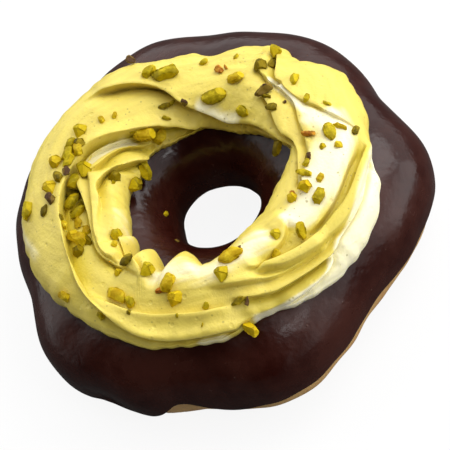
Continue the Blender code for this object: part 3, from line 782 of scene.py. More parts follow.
FOLDS = (
    # long outer lobe, and the shaded slope under it
    Fold(OUTER, 1.2, 5.0, 1.3, 2.2, 1.2,
         ((338, 0.81), (356, 0.90), (371, 0.935), (386, 0.92), (404, 0.87), (418, 0.835), (428, 0.79),
          (438, 0.715), (448, 0.64), (458, 0.53), (468, 0.44)), groove_shade=0.1),
    Fold(OUTER, 0.3, 3.0, 0.9, 6.5, 0.2,
         ((415, 0.84), (428, 0.79), (438, 0.715), (448, 0.64), (460, 0.51), (474, 0.42)),
         bead=0.0, crease=0.0, groove_shade=0.0),
    # inner edge of the broad lobe, then the rim of the trough
    Fold(OUTER, 1.2, 1.6, 2.9, 3.4, 0.9,
         ((46, 1.01), (60, 1.01), (75, 1.03), (88, 1.04), (96, 0.98), (104, 0.89), (115, 0.775),
          (124, 0.68), (132, 0.62), (146, 0.59), (160, 0.53), (168, 0.475), (176, 0.43), (185, 0.38),
          (196, 0.31), (206, 0.25), (214, 0.20), (222, 0.16)), fade=(20.0, 30.0)),
    # thin ribbon inside it, and its pale neighbour
    Fold(OUTER, 0.7, 1.0, 1.1, 1.6, 0.5,
         ((96, 1.0), (106, 0.90), (115, 0.81), (126, 0.705), (138, 0.65), (150, 0.635)), crease=0.4),
    Fold(OUTER, 0.5, 1.2, 1.8, 2.0, 0.7,
         ((102, 1.05), (113, 0.92), (123, 0.80), (130, 0.765), (140, 0.735), (150, 0.70)), crease=0.5),
    Fold(OUTER, 1.0, 2.4, 1.9, 2.4, 1.1,
         ((106, 1.08), (114, 1.01), (122, 0.96), (132, 0.89), (142, 0.82), (151, 0.765), (158, 0.735),
          (168, 0.72), (180, 0.67), (192, 0.62)), fade=(7.0, 46.0)),
    # inner wall of the trough, a double lip
    Fold(INNER, 1.0, 2.2, 1.4, 1.8, 0.7,
         ((126, 0.675), (138, 0.645), (150, 0.65), (164, 0.65), (174, 0.625), (184, 0.59), (196, 0.54),
          (214, 0.525), (230, 0.46)), fade=(18.0, 30.0)),
    Fold(INNER, 0.5, 0.8, 0.7, 0.7, 0.3,
         ((132, 0.715), (142, 0.70), (152, 0.705), (164, 0.69), (174, 0.66), (188, 0.605), (198, 0.57),
          (212, 0.56)), crease=0.3, fade=(20.0, 9.0)),
    # band that lies over the skirt, and the dip behind its rim
    Fold(INNER, 0.9, 1.3, 1.5, 3.0, 0.9,
         ((172, 0.43), (181, 0.385), (190, 0.335), (201, 0.265), (210, 0.205), (219, 0.145), (230, 0.075),
          (244, 0.02), (258, 0.015), (268, 0.04)), bead=0.5, crease=1.2, fade=(40.0, 9.0), groove_shade=0.3),
    Fold(OUTER, 0.5, 2.4, 1.2, 3.4, 0.2,
         ((202, 0.31), (212, 0.26), (224, 0.24), (238, 0.22), (250, 0.185), (264, 0.19)),
         crease=0.0, groove_shade=0.0, fade=(16.0, 9.0)),
    # thick rims at the near side
    Fold(INNER, 0.8, 2.6, 0.8, 2.0, 0.3,
         ((252, 0.37), (262, 0.345), (267, 0.325), (271, 0.30), (275, 0.265), (281, 0.245), (292, 0.235),
          (300, 0.235)), crease=0.0, groove_shade=0.3),
    Fold(INNER, 0.6, 1.4, 1.5, 2.2, 0.9,
         ((258, 0.24), (267, 0.23), (273, 0.19), (280, 0.175), (288, 0.175), (294, 0.185), (300, 0.195)),
         fade=(10.0, 6.0)),
    Fold(INNER, 0.3, 1.0, 1.1, 1.0, 0.4,
         ((270, 0.38), (276, 0.32), (280, 0.28), (285, 0.26), (298, 0.25), (307, 0.24), (318, 0.225),
          (332, 0.21)), fade=(5.0, 5.0)),
    Fold(OUTER, 0.9, 1.2, 1.5, 1.8, 0.8,
         ((271, 0.40), (276, 0.365), (280, 0.335), (286, 0.31), (296, 0.30), (306, 0.295), (314, 0.275),
          (325, 0.26), (335, 0.24)), fade=(6.0, 6.0)),
    Fold(INNER, 0.6, 3.0, 1.0, 2.4, 0.4,
         ((292, 0.36), (306, 0.36), (314, 0.355), (326, 0.335), (332, 0.31), (338, 0.26)), groove_shade=1.8),
    Fold(INNER, 0.5, 2.0, 0.9, 1.8, 0.3,
         ((268, 0.40), (276, 0.395), (282, 0.41), (288, 0.44), (293, 0.50), (297, 0.56)),
         crease=0.3, fade=(5.0, 5.0)),
    # edges over the pale skirt
    Fold(INNER, 0.8, 2.2, 1.1, 2.2, 0.5,
         ((262, 0.07), (272, 0.05), (280, 0.045), (286, 0.065), (290, 0.09), (293, 0.125), (296, 0.18)),
         groove_shade=0.0, fade=(4.0, 4.0)),
    Fold(INNER, 0.7, 1.1, 1.1, 2.4, 0.6,
         ((293, 0.185), (304, 0.21), (315, 0.20), (328, 0.20), (338, 0.165)), groove_shade=0.0, fade=(5.0, 5.0)),
    # big outer lobe and its curled peak
    Fold(OUTER, 0.35, 3.0, 0.4, 1.6, 0.4,
         ((335, 0.23), (341, 0.35), (345, 0.43), (350, 0.49), (357, 0.57), (366, 0.60), (376, 0.56)),
         crease=0.3, groove_shade=0.0),
    Fold(OUTER, 0.8, 1.3, 1.5, 1.4, 0.7,
         ((370, 0.59), (376, 0.55), (382, 0.45), (388, 0.31), (393, 0.17)), fade=(3.5, 3.5)),
    # folds between the far side and the right
    Fold(OUTER, 0.5, 2.0, 0.6, 1.2, 0.4,
         ((306, 0.55), (318, 0.565), (328, 0.59), (336, 0.64), (346, 0.65), (356, 0.63), (368, 0.63),
          (375, 0.61), (384, 0.55)), groove_shade=0.15),
    Fold(OUTER, 0.6, 1.6, 0.8, 1.4, 0.7,
         ((308, 0.58), (318, 0.61), (329, 0.67), (340, 0.75), (357, 0.78), (364, 0.76), (369, 0.74),
          (378, 0.70)), groove_shade=0.5),
    # small curl of the inner lobe
    Fold(INNER, 0.5, 0.7, 0.6, 0.9, 0.4,
         ((190, 0.70), (200, 0.70), (206, 0.665), (211, 0.60), (215, 0.53)), crease=0.3, fade=(4.0, 4.0)),
    Fold(OUTER, 0.5, 1.2, 0.6, 1.6, 0.4,
         ((203, 0.64), (210, 0.62), (217, 0.60), (222, 0.56), (227, 0.49)),
         crease=0.5, groove_shade=0.2, fade=(4.0, 4.0)),
    # rounded end of the far lobe
    Fold(OUTER, 0.5, 1.6, 0.7, 1.6, 0.4,
         ((374, 0.71), (376, 0.64), (380, 0.60), (384, 0.56), (389, 0.54)),
         crease=0.4, groove_shade=0.2, fade=(3.0, 3.0)),
)
SWELLS = (
    Band(0.6, 2.5, 2.5, ((18, 0.66), (45, 0.68), (80, 0.72))),
    Band(1.2, 3.0, 3.2, ((208, 0.58), (225, 0.54), (250, 0.50), (290, 0.55))),
    Band(1.5, 2.2, 3.0, ((136, 0.86), (165, 0.80), (198, 0.74))),
    Band(0.8, 2.2, 2.2, ((286, 0.52), (293, 0.56), (299, 0.56)), fade=(4.0, 4.0)),
)
# Pale streaks: vanilla cream, with three bands of painted highlight among them.
STREAKS_AND_HIGHLIGHTS = (
    Band(1.1, 9.0, 0.8,
         ((262, 0.06), (272, 0.04), (282, 0.04), (290, 0.085), (294, 0.16), (304, 0.20), (328, 0.19),
          (337, 0.16)), fade=(4.0, 4.0)),
    Band(0.85, 3.0, 3.2,
         ((290, 0.50), (310, 0.47), (325, 0.46), (340, 0.44), (352, 0.54)), fade=(7.0, 7.0)),
    Band(0.9, 0.4, 1.2, ((346, 0.50), (355, 0.585), (368, 0.61), (382, 0.56)), fade=(6.0, 6.0)),
    Band(1.0, 1.4, 0.8, ((110, 0.90), (122, 0.765), (134, 0.70), (146, 0.675)), fade=(6.0, 6.0)),
    Band(0.7, 2.2, 0.5, ((12, 0.93), (35, 0.89), (62, 0.81)), fade=(9.0, 9.0)),
    # painted highlight: on the lit top of the near band, which is paler cream there as well, on the left
    # skirt and on the inner lobe
    Band(0.6, 3.0, 3.0, ((222, 0.56), (255, 0.54), (292, 0.54))),
    Band(0.45, 2.0, 2.0, ((150, 0.20), (168, 0.20), (186, 0.18))),
    Band(0.4, 2.0, 2.0, ((170, 0.78), (190, 0.79), (210, 0.76))),
    Band(0.6, 2.0, 0.6, ((243, -0.04), (258, -0.04)), fade=(4.0, 4.0)),
)


@dataclass
class PipedCream:
    """The ring of cream, piped in overlapping ribbons."""

    form: RingForm
    offset: np.ndarray
    height: float = 7.2
    seat: float = 0.5
    sink: float = 0.15
    radius: float = 29.6
    steps: int = 480
    rows: int = 178
    under_rows: int = 8
    fold_edge: float = 0.26
    bead_place: float = 0.55
    bead_width: float = 0.5
    crease_width: float = 0.7
    lean_share: float = 0.5
    lean_margin: float = 0.6
    # Groove depth that gives full painted shade, and how far painted shade spreads from a groove.
    full_groove_shade: float = 2.0
    groove_shade_width: float = 2.4
    edge_share: float = 0.06
    dome_power: float = 2.3
    thinnest: float = 0.6
    fold_rows: float = 5.0
    fold_spread: float = 3.0
    foot_rows: float = 2.5
    row_samples: int = 900
    flow_round: float = 3.2
    flow_across: float = 0.9
    outer_edge: Points = (
        (0, 0.07), (5, 0.08), (10, 0.15), (15, 0.245), (20, 0.29), (26, 0.24), (30, 0.22), (36, 0.25),
        (43, 0.26), (49, 0.31), (55, 0.34), (62, 0.29), (72, 0.33), (80, 0.37), (88, 0.33), (97, 0.27),
        (106, 0.24), (120, 0.21), (135, 0.21), (149, 0.23), (157, 0.18), (165, 0.12), (173, 0.06),
        (184, 0.02), (199, 0.03), (213, -0.02), (227, -0.04), (241, -0.065), (251, -0.08), (256, -0.06),
        (260, 0.01), (265, 0.055), (270, 0.045), (278, -0.01), (289, -0.05), (298, -0.03), (308, -0.01),
        (316, 0.025), (324, 0.07), (329, 0.155), (335, 0.175), (340, 0.165), (346, 0.085), (353, 0.055))
    inner_edge: Points = (
        (0, 1.00), (20, 1.03), (45, 1.02), (62, 1.04), (76, 1.155), (92, 1.20), (103, 1.105), (114, 1.02),
        (132, 1.02), (147, 0.98), (170, 0.91), (190, 0.86), (207, 0.735), (228, 0.70), (245, 0.72),
        (256, 0.77), (265, 0.82), (278, 0.88), (289, 0.875), (297, 0.86), (309, 0.90), (328, 0.89),
        (346, 0.91), (353, 0.96))
    fingers: Points = ((201.5, 0.55, 6.3), (220.5, 1.0, 8.5), (241.5, 0.95, 9.5))
    finger_reach: float = 0.17
    finger_height: float = 2.6
    finger_base: tuple[float, float, float] = (225.0, -1.2, 24.0)
    finger_start: float = 0.60
    finger_run: float = 0.16
    inner_ragged: float = 0.7
    ragged: Ripples = Ripples(21, 0.005, (20, 70), (0.0, 0.0), 18)
    lumps: Ripples = Ripples(13, 0.07, (3, 10), (0.5, 1.6), 12)
    strands: Ripples = Ripples(17, 0.03, (3, 12), (6.0, 16.0), 20)

    def across(self, direction: np.ndarray, share: np.ndarray) -> np.ndarray:
        """Place across the strip of a share of the cream's own width."""
        ragged = self.ragged.at(direction, 0.0)
        reach = self.finger_reach * knobs(self.fingers, direction)
        start = through(self.outer_edge, direction) + ragged
        end = through(self.inner_edge, direction) + reach - ragged * self.inner_ragged
        return start + (end - start) * share

    def off_route(self, line_of: Fold | Band, direction: np.ndarray, across: np.ndarray,
                  width: np.ndarray) -> tuple[np.ndarray, np.ndarray]:
        """How far places lie from a route, and how much of it is there.

        Args:
            line_of: The fold or band, with its route and the degrees over which it rises and dies away.
            direction: Degrees round the ring.
            across: Places across the strip.
            width: The strip's width in mm.

        Returns:
            Square distance in mm, positive towards the hole, and a share from 0 to 1.
        """
        route, (rise, fall) = line_of.route, line_of.fade
        first, last = route[0][0], route[-1][0]
        along = first + (direction - first) % 360
        inside = along <= last
        along = np.minimum(along, last)
        line = through(route, along, round_ring=False)
        ahead = through(route, along + 1, round_ring=False)
        slant = (ahead - line) * width / (math.radians(1) * self.radius)
        distance = (across - line) * width / np.sqrt(1 + slant**2)
        there = inside * smooth_step((along - first) / rise) * smooth_step((last - along) / fall)
        return distance, there

    def band(self, band: Band, direction: np.ndarray, across: np.ndarray, width: np.ndarray) -> np.ndarray:
        """Amount that a soft band adds."""
        distance, there = self.off_route(band, direction, across, width)
        spread = np.where(distance < 0, band.outer_width, band.inner_width)
        return band.amount * there * bell(distance, spread)

    def fold(self, fold: Fold, direction: np.ndarray, across: np.ndarray,
             width: np.ndarray) -> tuple[np.ndarray, np.ndarray, np.ndarray]:
        """Height that a fold adds and how far it leans, both in mm, and the painted shade of its groove."""
        distance, there = self.off_route(fold, direction, across, width)
        distance = distance * fold.side
        step = smooth_step(distance / (2 * self.fold_edge) + 0.5)
        up, down = np.maximum(distance, 0), np.maximum(-distance, 0)
        bead = fold.bead * bell(distance - self.bead_place, self.bead_width)
        lip = fold.lip * bell(up, fold.lip_width) + bead
        groove = fold.groove * bell(down, fold.groove_width) + fold.crease * bell(down, self.crease_width)
        relief = there * (lip * step - groove * (1 - step))
        leaning = bell(up, self.lean_share * fold.lip_width + self.lean_margin)
        lean = -there * fold.side * fold.lean * step * leaning
        # Painted shade in the groove, deeper where the groove is deeper.
        depth = min(fold.groove / self.full_groove_shade, 1.0)
        shaded_groove = bell(down, min(fold.groove_width, self.groove_shade_width))
        return relief, lean, there * fold.groove_shade * (1 - step) * shaded_groove * depth

    def relief(self, direction: np.ndarray,
               across: np.ndarray) -> tuple[np.ndarray, np.ndarray, np.ndarray]:
        """Height and sideways lean of all folds and swells, in mm, and the painted shade of the grooves."""
        width = self.form.strip(direction)[2]
        height, lean, groove_shade = 0.0, 0.0, 0.0
        for fold in FOLDS:
            raised, leaning, shaded_groove = self.fold(fold, direction, across, width)
            height, lean, groove_shade = height + raised, lean + leaning, np.maximum(groove_shade, shaded_groove)
        for swell in SWELLS:
            height = height + self.band(swell, direction, across, width)
        return height, lean, groove_shade

    def surface(self, direction: np.ndarray, share: np.ndarray) -> np.ndarray:
        """Point on the cream in mm; share runs from 0 at its outer foot to 1 at its foot in the hole."""
        across = self.across(direction, share)
        outer_turn, inner_turn, width = self.form.strip(direction)
        relief, lean, _ = self.relief(direction, across)
        fingers = lobes((self.finger_base,), direction)
        fingers = fingers + self.finger_height * knobs(self.fingers, direction)
        relief = relief + fingers * smooth_step((share - self.finger_start) / self.finger_run)
        relief = relief + self.lumps.at(direction, across) + self.strands.at(direction, across)
        settled = smooth_step(np.minimum(share, 1 - share) / self.edge_share)
        turn = outer_turn + (inner_turn - outer_turn) * (across + lean * settled / width)
        dome = np.sqrt(np.maximum(1 - np.abs(2 * share - 1) ** self.dome_power, 0))
        raised = np.maximum(dome * self.height + relief * settled, self.thinnest * dome)
        height = (self.seat + self.sink) * np.minimum(3 * dome, 1) - self.sink + raised
        return self.form.skin(direction, turn) + self.form.normal(direction, turn) * height[..., None]

    def shares(self, direction: np.ndarray) -> np.ndarray:
        """Shares of the rows across the cream, closer together at its feet and along each fold."""
        fine = np.linspace(0, 1, self.row_samples)[None, :]
        across = self.across(direction, fine)
        width = self.form.strip(direction)[2]
        density = 1 + self.foot_rows * bell(np.minimum(fine, 1 - fine), self.edge_share)
        for fold in FOLDS:
            distance, there = self.off_route(fold, direction, across, width)
            density = density + self.fold_rows * there * bell(distance, self.fold_spread * self.fold_edge)
        filled = np.cumsum(density, axis=1) - density / 2
        filled = (filled - filled[:, :1]) / (filled[:, -1:] - filled[:, :1])
        even = np.linspace(0, 1, self.rows)
        return np.stack([np.interp(even, column, fine[0]) for column in filled])

    def paint(self, direction: np.ndarray, across: np.ndarray) -> dict[str, np.ndarray]:
        """Painted shade of the creases, share of vanilla and painted highlight, and places along and across
        the piping's flow.
        """
        width = self.form.strip(direction)[2]
        # Vanilla streaks together with painted highlights.
        vanilla_and_highlight = sum(self.band(streak, direction, across, width) for streak in STREAKS_AND_HIGHLIGHTS)
        bearing = np.radians(direction) + 0 * across
        along = (self.flow_round * np.cos(bearing), self.flow_round * np.sin(bearing))
        return {
            "crease_shade": np.clip(self.relief(direction, across)[2], 0, 1),
            "vanilla_and_highlight": np.clip(vanilla_and_highlight, 0, 1),
            "flow": np.stack([*along, across * width * self.flow_across], axis=-1),
        }

    def build(self, effects: Effects) -> bpy.types.Object:
        """Shape, paint and dress the cream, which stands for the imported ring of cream."""
        direction = even_directions(self.steps)
        share = self.shares(direction)
        back = np.linspace(1, 0, self.under_rows + 2)[None, 1:-1]
        outer_turn, inner_turn, _ = self.form.strip(direction)
        turn = outer_turn + (inner_turn - outer_turn) * self.across(direction, back)
        under = self.form.skin(direction, turn) - self.form.normal(direction, turn) * self.sink
        places = np.concatenate([self.surface(direction, share), under], axis=1)
        all_share = np.concatenate([share, np.tile(back, (self.steps, 1))], axis=1)
        paint = self.paint(direction, self.across(direction, all_share))
        piece = Bench.ring("piped_pistachio_cream", places + self.offset, paint)
        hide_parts("pistachio_cream")
        return Bench.dress(piece, CreamFinish().material(effects), "cream")


# ---------------------------------------------------------------- chopped pistachios
class Kind(Enum):
    """Colour of a bit; the dark kind also stands for painted shade on one bit in the shadow by the hole."""

    GREEN = "green"
    GOLD = "gold"
    DARK = "dark"
    SKIN = "skin"
    RUST = "rust"


class Cut(Enum):
    """Shape of a bit."""

    HALF = "half"
    CHUNK = "chunk"
    STICK = "stick"
    SLIVER = "sliver"
    FLAKE = "flake"


@dataclass(frozen=True)
class Blade:
    """How one shape is chopped: proportions, number of knife cuts and how near the middle they go."""

    width: float
    thickness: float
    cuts: int
    nearest: float
    farthest: float


GREEN, GOLD, DARK, SKIN, RUST = Kind
HALF, CHUNK, STICK, SLIVER, FLAKE = Cut

BLADES = {
    HALF: Blade(0.60, 0.42, 3, 0.62, 0.92),
    CHUNK: Blade(0.80, 0.56, 8, 0.50, 0.78),
    STICK: Blade(0.44, 0.38, 5, 0.56, 0.88),
    SLIVER: Blade(0.32, 0.20, 4, 0.50, 0.85),
    FLAKE: Blade(0.62, 0.16, 5, 0.50, 0.78),
}

KERNEL_FINISHES = {
    GREEN: KernelFinish(
        "pistachio_green", (0.46, 0.33, 0.002, 1), (0.27, 0.20, 0.001, 1), (0.60, 0.46, 0.012, 1)),
    GOLD: KernelFinish(
        "pistachio_gold", (0.56, 0.39, 0.003, 1), (0.40, 0.25, 0.001, 1), (0.66, 0.50, 0.020, 1)),
    DARK: KernelFinish(
        "pistachio_dark", (0.21, 0.145, 0.001, 1), (0.10, 0.07, 0.002, 1), (0.32, 0.23, 0.005, 1)),
    SKIN: KernelFinish(
        "pistachio_skin", (0.20, 0.13, 0.015, 1), (0.060, 0.028, 0.012, 1), (0.14, 0.075, 0.025, 1)),
    RUST: KernelFinish(
        "pistachio_rust", (0.46, 0.155, 0.008, 1), (0.27, 0.080, 0.006, 1), (0.58, 0.32, 0.03, 1)),
}


@dataclass(frozen=True)
class Bit:
    """One bit on the cream: where it lies, its length in mm, its bearing from above, its kind and shape."""

    direction: float
    across: float
    length: float
    bearing: float
    kind: Kind = GREEN
    cut: Cut = CHUNK
    tilt: float = 0.0


BITS = (
    # far side, from the right to the left
    Bit(8, 0.54, 4.4, 48, GREEN, STICK), Bit(1.5, 0.69, 1.2, 30, SKIN),
    Bit(2, 0.78, 3.2, 325, DARK, HALF), Bit(9.5, 0.74, 2.8, 320, DARK, STICK),
    Bit(13.2, 0.715, 5.4, 356, SKIN, STICK, 14), Bit(17.8, 0.88, 3.9, 100, GREEN, HALF),
    Bit(27, 0.4, 4.2, 95), Bit(24, 0.48, 3.0, 60, DARK), Bit(25.8, 0.52, 4.6, 20, DARK),
    Bit(33.5, 0.645, 4.8, 340, GOLD, HALF), Bit(40.5, 0.465, 2.4, 31, GREEN, STICK),
    Bit(45, 0.58, 3.6, 80, RUST, FLAKE, 20), Bit(42.5, 0.555, 2.4, 85, RUST, SLIVER, 10),
    Bit(43.5, 0.775, 6.2, 342, GREEN, HALF), Bit(55.5, 0.49, 2.8, 20), Bit(64, 0.845, 2.4, 91, SKIN),
    Bit(73.5, 0.63, 7.0, 338, GREEN, HALF, 6), Bit(82, 0.61, 4.8, 12),
    Bit(87.5, 0.43, 4.0, 95, SKIN, FLAKE, 55), Bit(81, 0.89, 4.2, 350, DARK, SLIVER, 6),
    Bit(83, 1, 3.6, 311, GREEN, SLIVER), Bit(76, 0.86, 3.2, 20, GREEN, SLIVER, 14),
    Bit(96.5, 1.06, 4.8, 20, GOLD), Bit(106.5, 0.955, 6.0, 330, GOLD, HALF),
    Bit(109.5, 0.9, 4.6, 31, GREEN, HALF), Bit(109.5, 0.695, 2.2, 40, GOLD),
    Bit(115.5, 0.635, 2.4, 90, GOLD), Bit(125.2, 0.555, 4.6, 41),
    # heap at the left
    Bit(132.2, 0.61, 4.4, 40, DARK), Bit(134.2, 0.565, 4.8, 15), Bit(141.5, 0.52, 5.0, 60, GOLD),
    Bit(139.5, 0.58, 5.0, 20), Bit(143, 0.60, 5.0, 20, GREEN, STICK, 8),
    Bit(148.2, 0.60, 3.8, 100, SKIN, FLAKE, 12), Bit(146.2, 0.68, 5.2, 55),
    Bit(151.2, 0.565, 5.0, 91, DARK, STICK), Bit(154.7, 0.51, 4.8, 85, GOLD),
    Bit(156.7, 0.6, 4.6, 115, DARK, HALF), Bit(160.2, 0.5, 3.8, 100, SKIN),
    Bit(161.2, 0.58, 4.8, 10, GREEN, HALF, 14), Bit(165.2, 0.59, 4.8, 12, DARK, STICK),
    Bit(159.7, 0.325, 6.6, 50, GREEN, STICK), Bit(163.7, 0.43, 3.1, 45, DARK, HALF),
    Bit(129, 1, 5.2, 122, GREEN, HALF), Bit(149, 0.855, 4.2, 20, DARK), Bit(154.2, 0.84, 1.4, 20),
    Bit(145.2, 0.97, 4.6, 100, DARK, CHUNK, 16), Bit(148.2, 0.955, 4.4, 60),
    Bit(136, 0.62, 4.0, 70, GOLD), Bit(153, 0.62, 4.6, 40), Bit(168, 0.575, 4.4, 20, GREEN, HALF),
    Bit(171, 0.50, 3.4, 60, DARK), Bit(174, 0.54, 4.2, 95, GOLD, FLAKE, 10),
    Bit(180, 0.55, 4.4, 70, GOLD, FLAKE),
    # trough and inner lobe at the left
    Bit(175.2, 0.485, 3.6, 100, GOLD, STICK), Bit(179.2, 0.47, 4.2, 80, GOLD),
    Bit(183.2, 0.49, 4.6, 120, GOLD), Bit(185.2, 0.515, 4.4, 95, DARK, STICK),
    Bit(187.2, 0.445, 4.4, 80, DARK), Bit(194, 0.69, 4.0, 60), Bit(197.5, 0.14, 3.7, 110, GOLD),
    Bit(201.4, 0.63, 2.1, 60, GOLD), Bit(213.3, 0.12, 2.7, 75), Bit(212.5, 0.475, 2.8, 70, GOLD),
    Bit(212, 0.76, 2.8, 115, RUST), Bit(216.5, 0.555, 3.8, 0, DARK, HALF),
    # near side
    Bit(217, 0.32, 5.4, 117, GOLD, HALF), Bit(223, 0.315, 3.4, 75), Bit(224.5, 0.225, 1.6, 75, DARK),
    Bit(226.5, 0.56, 4.4, 10), Bit(235.3, 0.415, 4.4, 330, RUST, SLIVER, 8),
    Bit(238.5, 0.455, 5.4, 25, GOLD), Bit(240.5, 0.345, 4.6, 31, GOLD),
    Bit(242, 0.19, 1.5, 50, GREEN, STICK), Bit(250, 0.075, 1.5, 30, GREEN, SLIVER),
    Bit(252, 0.24, 2.3, 40), Bit(260.5, 0.425, 4.4, 50), Bit(262, 0.2, 4.4, 10, DARK, SLIVER, 10),
    Bit(264.5, 0.185, 3.4, 55, SKIN, SLIVER, 10), Bit(262, 0.015, 5.2, 282, GOLD, STICK, 12),
    Bit(267, 0.545, 6.0, 358, GOLD, HALF), Bit(272, 0.565, 1.8, 60, SKIN, FLAKE),
    Bit(282, 0.4, 2.8, 50, GOLD), Bit(287, 0.485, 3.2, 60), Bit(294, 0.395, 5.2, 67, GREEN, STICK, 30),
    # right
    Bit(306, 0.59, 3.7, 80, GOLD), Bit(307.5, 0.605, 2.0, 80, RUST),
    Bit(309, 0.44, 5.8, 35, GREEN, STICK), Bit(311.5, 0.54, 4.4, 330, GOLD),
    Bit(316.5, 0.48, 3.4, 32, GOLD, STICK), Bit(317.5, 0.58, 5.2, 317, GREEN, SLIVER),
    Bit(322.5, 0.585, 2.5, 31), Bit(325.5, 0.585, 2.5, 31, SKIN), Bit(331, 0.43, 2.5, 110, GOLD),
    Bit(331, 0.525, 2.2, 41), Bit(337.5, 0.49, 4.8, 77, GREEN, HALF),
    Bit(339, 0.41, 3.8, 321, GOLD, STICK), Bit(338, 0.63, 4.6, 325, RUST, SLIVER, 8),
    Bit(337.5, 0.31, 3.0, 36, DARK, HALF), Bit(349.5, 0.43, 3.0, 307, GREEN, SLIVER),
    # the half at 347 by the hole is a green bit in shadow, given the dark kind as painted shade
    Bit(355.5, 0.55, 3.0, 41, GREEN, STICK), Bit(347, 0.95, 4.2, 31, DARK, HALF),
    # two crumbs on the glaze in the hole
    Bit(166.5, 1.28, 1.9, 20), Bit(211, 1.43, 1.8, 120, SKIN, FLAKE),
)


@dataclass(frozen=True)
class Chopper:
    """Chops blanks of unit length, which lie along X."""

    segments: int = 14
    rings: int = 9
    cut_stray: float = 0.3
    cut_lean: tuple[float, float] = (-0.5, 1.1)
    weld: float = 0.004
    softening: float = 0.014
    softening_steps: int = 2
    refining: int = 2
    broad_wear: tuple[float, float] = (2.6, 0.055)
    fine_wear: tuple[float, float] = (8.0, 0.022)
    wear_start: float = 50.0
    smooth_angle: float = 45.0
    rounded_share: float = 0.86

    def blank(self, cut: Cut, number: int) -> bpy.types.Object:
        """One chopped blank.

        Args:
            cut: The shape to chop.
            number: Which of that shape's blanks it is.

        Returns:
            The blank, with its knife-cut faces marked.
        """
        blade, draw = BLADES[cut], random.Random(f"{cut.value}{number}")
        Bench.clear_selection()
        bpy.ops.mesh.primitive_uv_sphere_add(
            segments=self.segments, ring_count=self.rings, radius=0.5, rotation=(0, math.pi / 2, 0))
        blank = bpy.context.object
        blank.name = f"blank_{cut.value}_{number}"
        bpy.ops.object.transform_apply(location=True, rotation=True, scale=True)
        self.chop(blade, draw)
        self.mark(blank, blade)
        self.soften(blank)
        self.wear(blank, draw)
        return blank

    def chop(self, blade: Blade, draw: random.Random) -> None:
        """Flatten the round kernel and slice pieces off it all round."""
        bpy.ops.object.mode_set(mode="EDIT")
        bpy.ops.mesh.select_all(action="SELECT")
        bpy.ops.transform.resize(value=(1.0, blade.width, blade.thickness))
        for each in range(blade.cuts):
            stray = draw.uniform(-self.cut_stray, self.cut_stray)
            spin = 2 * math.pi * (each + stray) / blade.cuts
            plane = Vector((math.cos(spin), math.sin(spin), draw.uniform(*self.cut_lean))).normalized()
            depth = draw.uniform(blade.nearest, blade.farthest) / 2
            at = Vector((plane.x, plane.y * blade.width, plane.z * blade.thickness)) * depth
            bpy.ops.mesh.select_all(action="SELECT")
            bpy.ops.mesh.bisect(plane_co=at, plane_no=plane, use_fill=True, clear_outer=True)
        self.put_in_order(bpy.context.object)
        bpy.ops.mesh.select_all(action="SELECT")
        bpy.ops.mesh.remove_doubles(threshold=self.weld)
        bpy.ops.mesh.normals_make_consistent(inside=False)
        bpy.ops.object.mode_set(mode="OBJECT")

    @staticmethod
    def put_in_order(blank: bpy.types.Object) -> None:
        """Number the corners and faces by place, so that each run goes on from the same mesh."""
        bpy.ops.object.mode_set(mode="OBJECT")
        mesh = blank.data
        places = [tuple(round(value, 6) for value in vertex.co) for vertex in mesh.vertices]
        order = sorted(range(len(places)), key=places.__getitem__)
        rank = {corner: number for number, corner in enumerate(order)}
        marked = mesh.attributes.get("knife_cut")
        marks = [mark.value for mark in marked.data] if marked else [0.0] * len(mesh.polygons)
        faces = []
        for face, mark in zip(mesh.polygons, marks):
            corners = [rank[corner] for corner in face.vertices]
            first = corners.index(min(corners))
            faces.append((corners[first:] + corners[:first], mark))
        faces.sort()
        mesh.clear_geometry()
        mesh.from_pydata([places[corner] for corner in order], [], [corners for corners, _ in faces])
        if marked:
            layer = mesh.attributes.get("knife_cut") or mesh.attributes.new("knife_cut", "FLOAT", "FACE")
            layer.data.foreach_set("value", [mark for _, mark in faces])
        bpy.ops.object.mode_set(mode="EDIT")

    def mark(self, blank: bpy.types.Object, blade: Blade) -> None:
        """Mark the faces that a knife made: they lie inside the kernel's rounded outside."""
        layer = blank.data.attributes.new("knife_cut", "FLOAT", "FACE")
        axes = Vector((1, blade.width, blade.thickness)) / 2
        for face, mark in zip(blank.data.polygons, layer.data):
            inside = sum((value / axis) ** 2 for value, axis in zip(face.center, axes))
            mark.value = 1.0 if inside < self.rounded_share else 0.0

    def soften(self, blank: bpy.types.Object) -> None:
        """Take the sharpness off the edges and divide the faces finely."""
        soften = blank.modifiers.new("softened_edges", "BEVEL")
        soften.width, soften.segments, soften.limit_method = self.softening, self.softening_steps, "ANGLE"
        bpy.ops.object.modifier_apply(modifier=soften.name)
        bpy.ops.object.mode_set(mode="EDIT")
        self.put_in_order(blank)
        bpy.ops.mesh.select_all(action="SELECT")
        bpy.ops.mesh.quads_convert_to_tris()
        bpy.ops.mesh.subdivide(number_cuts=self.refining)
        bpy.ops.object.mode_set(mode="OBJECT")

    def wear(self, blank: bpy.types.Object, draw: random.Random) -> None:
        """Make the faces a little uneven, and shade them softly."""
        start = Vector((draw.uniform(0, self.wear_start), draw.uniform(0, self.wear_start), 0))
        (broad_scale, broad_depth), (fine_scale, fine_depth) = self.broad_wear, self.fine_wear
        for vertex in blank.data.vertices:
            broad = noise.noise(vertex.co * broad_scale + start)
            fine = noise.noise(vertex.co * fine_scale + start)
            vertex.co += vertex.normal * (broad_depth * broad + fine_depth * fine)
        bpy.ops.object.shade_smooth_by_angle(angle=math.radians(self.smooth_angle))


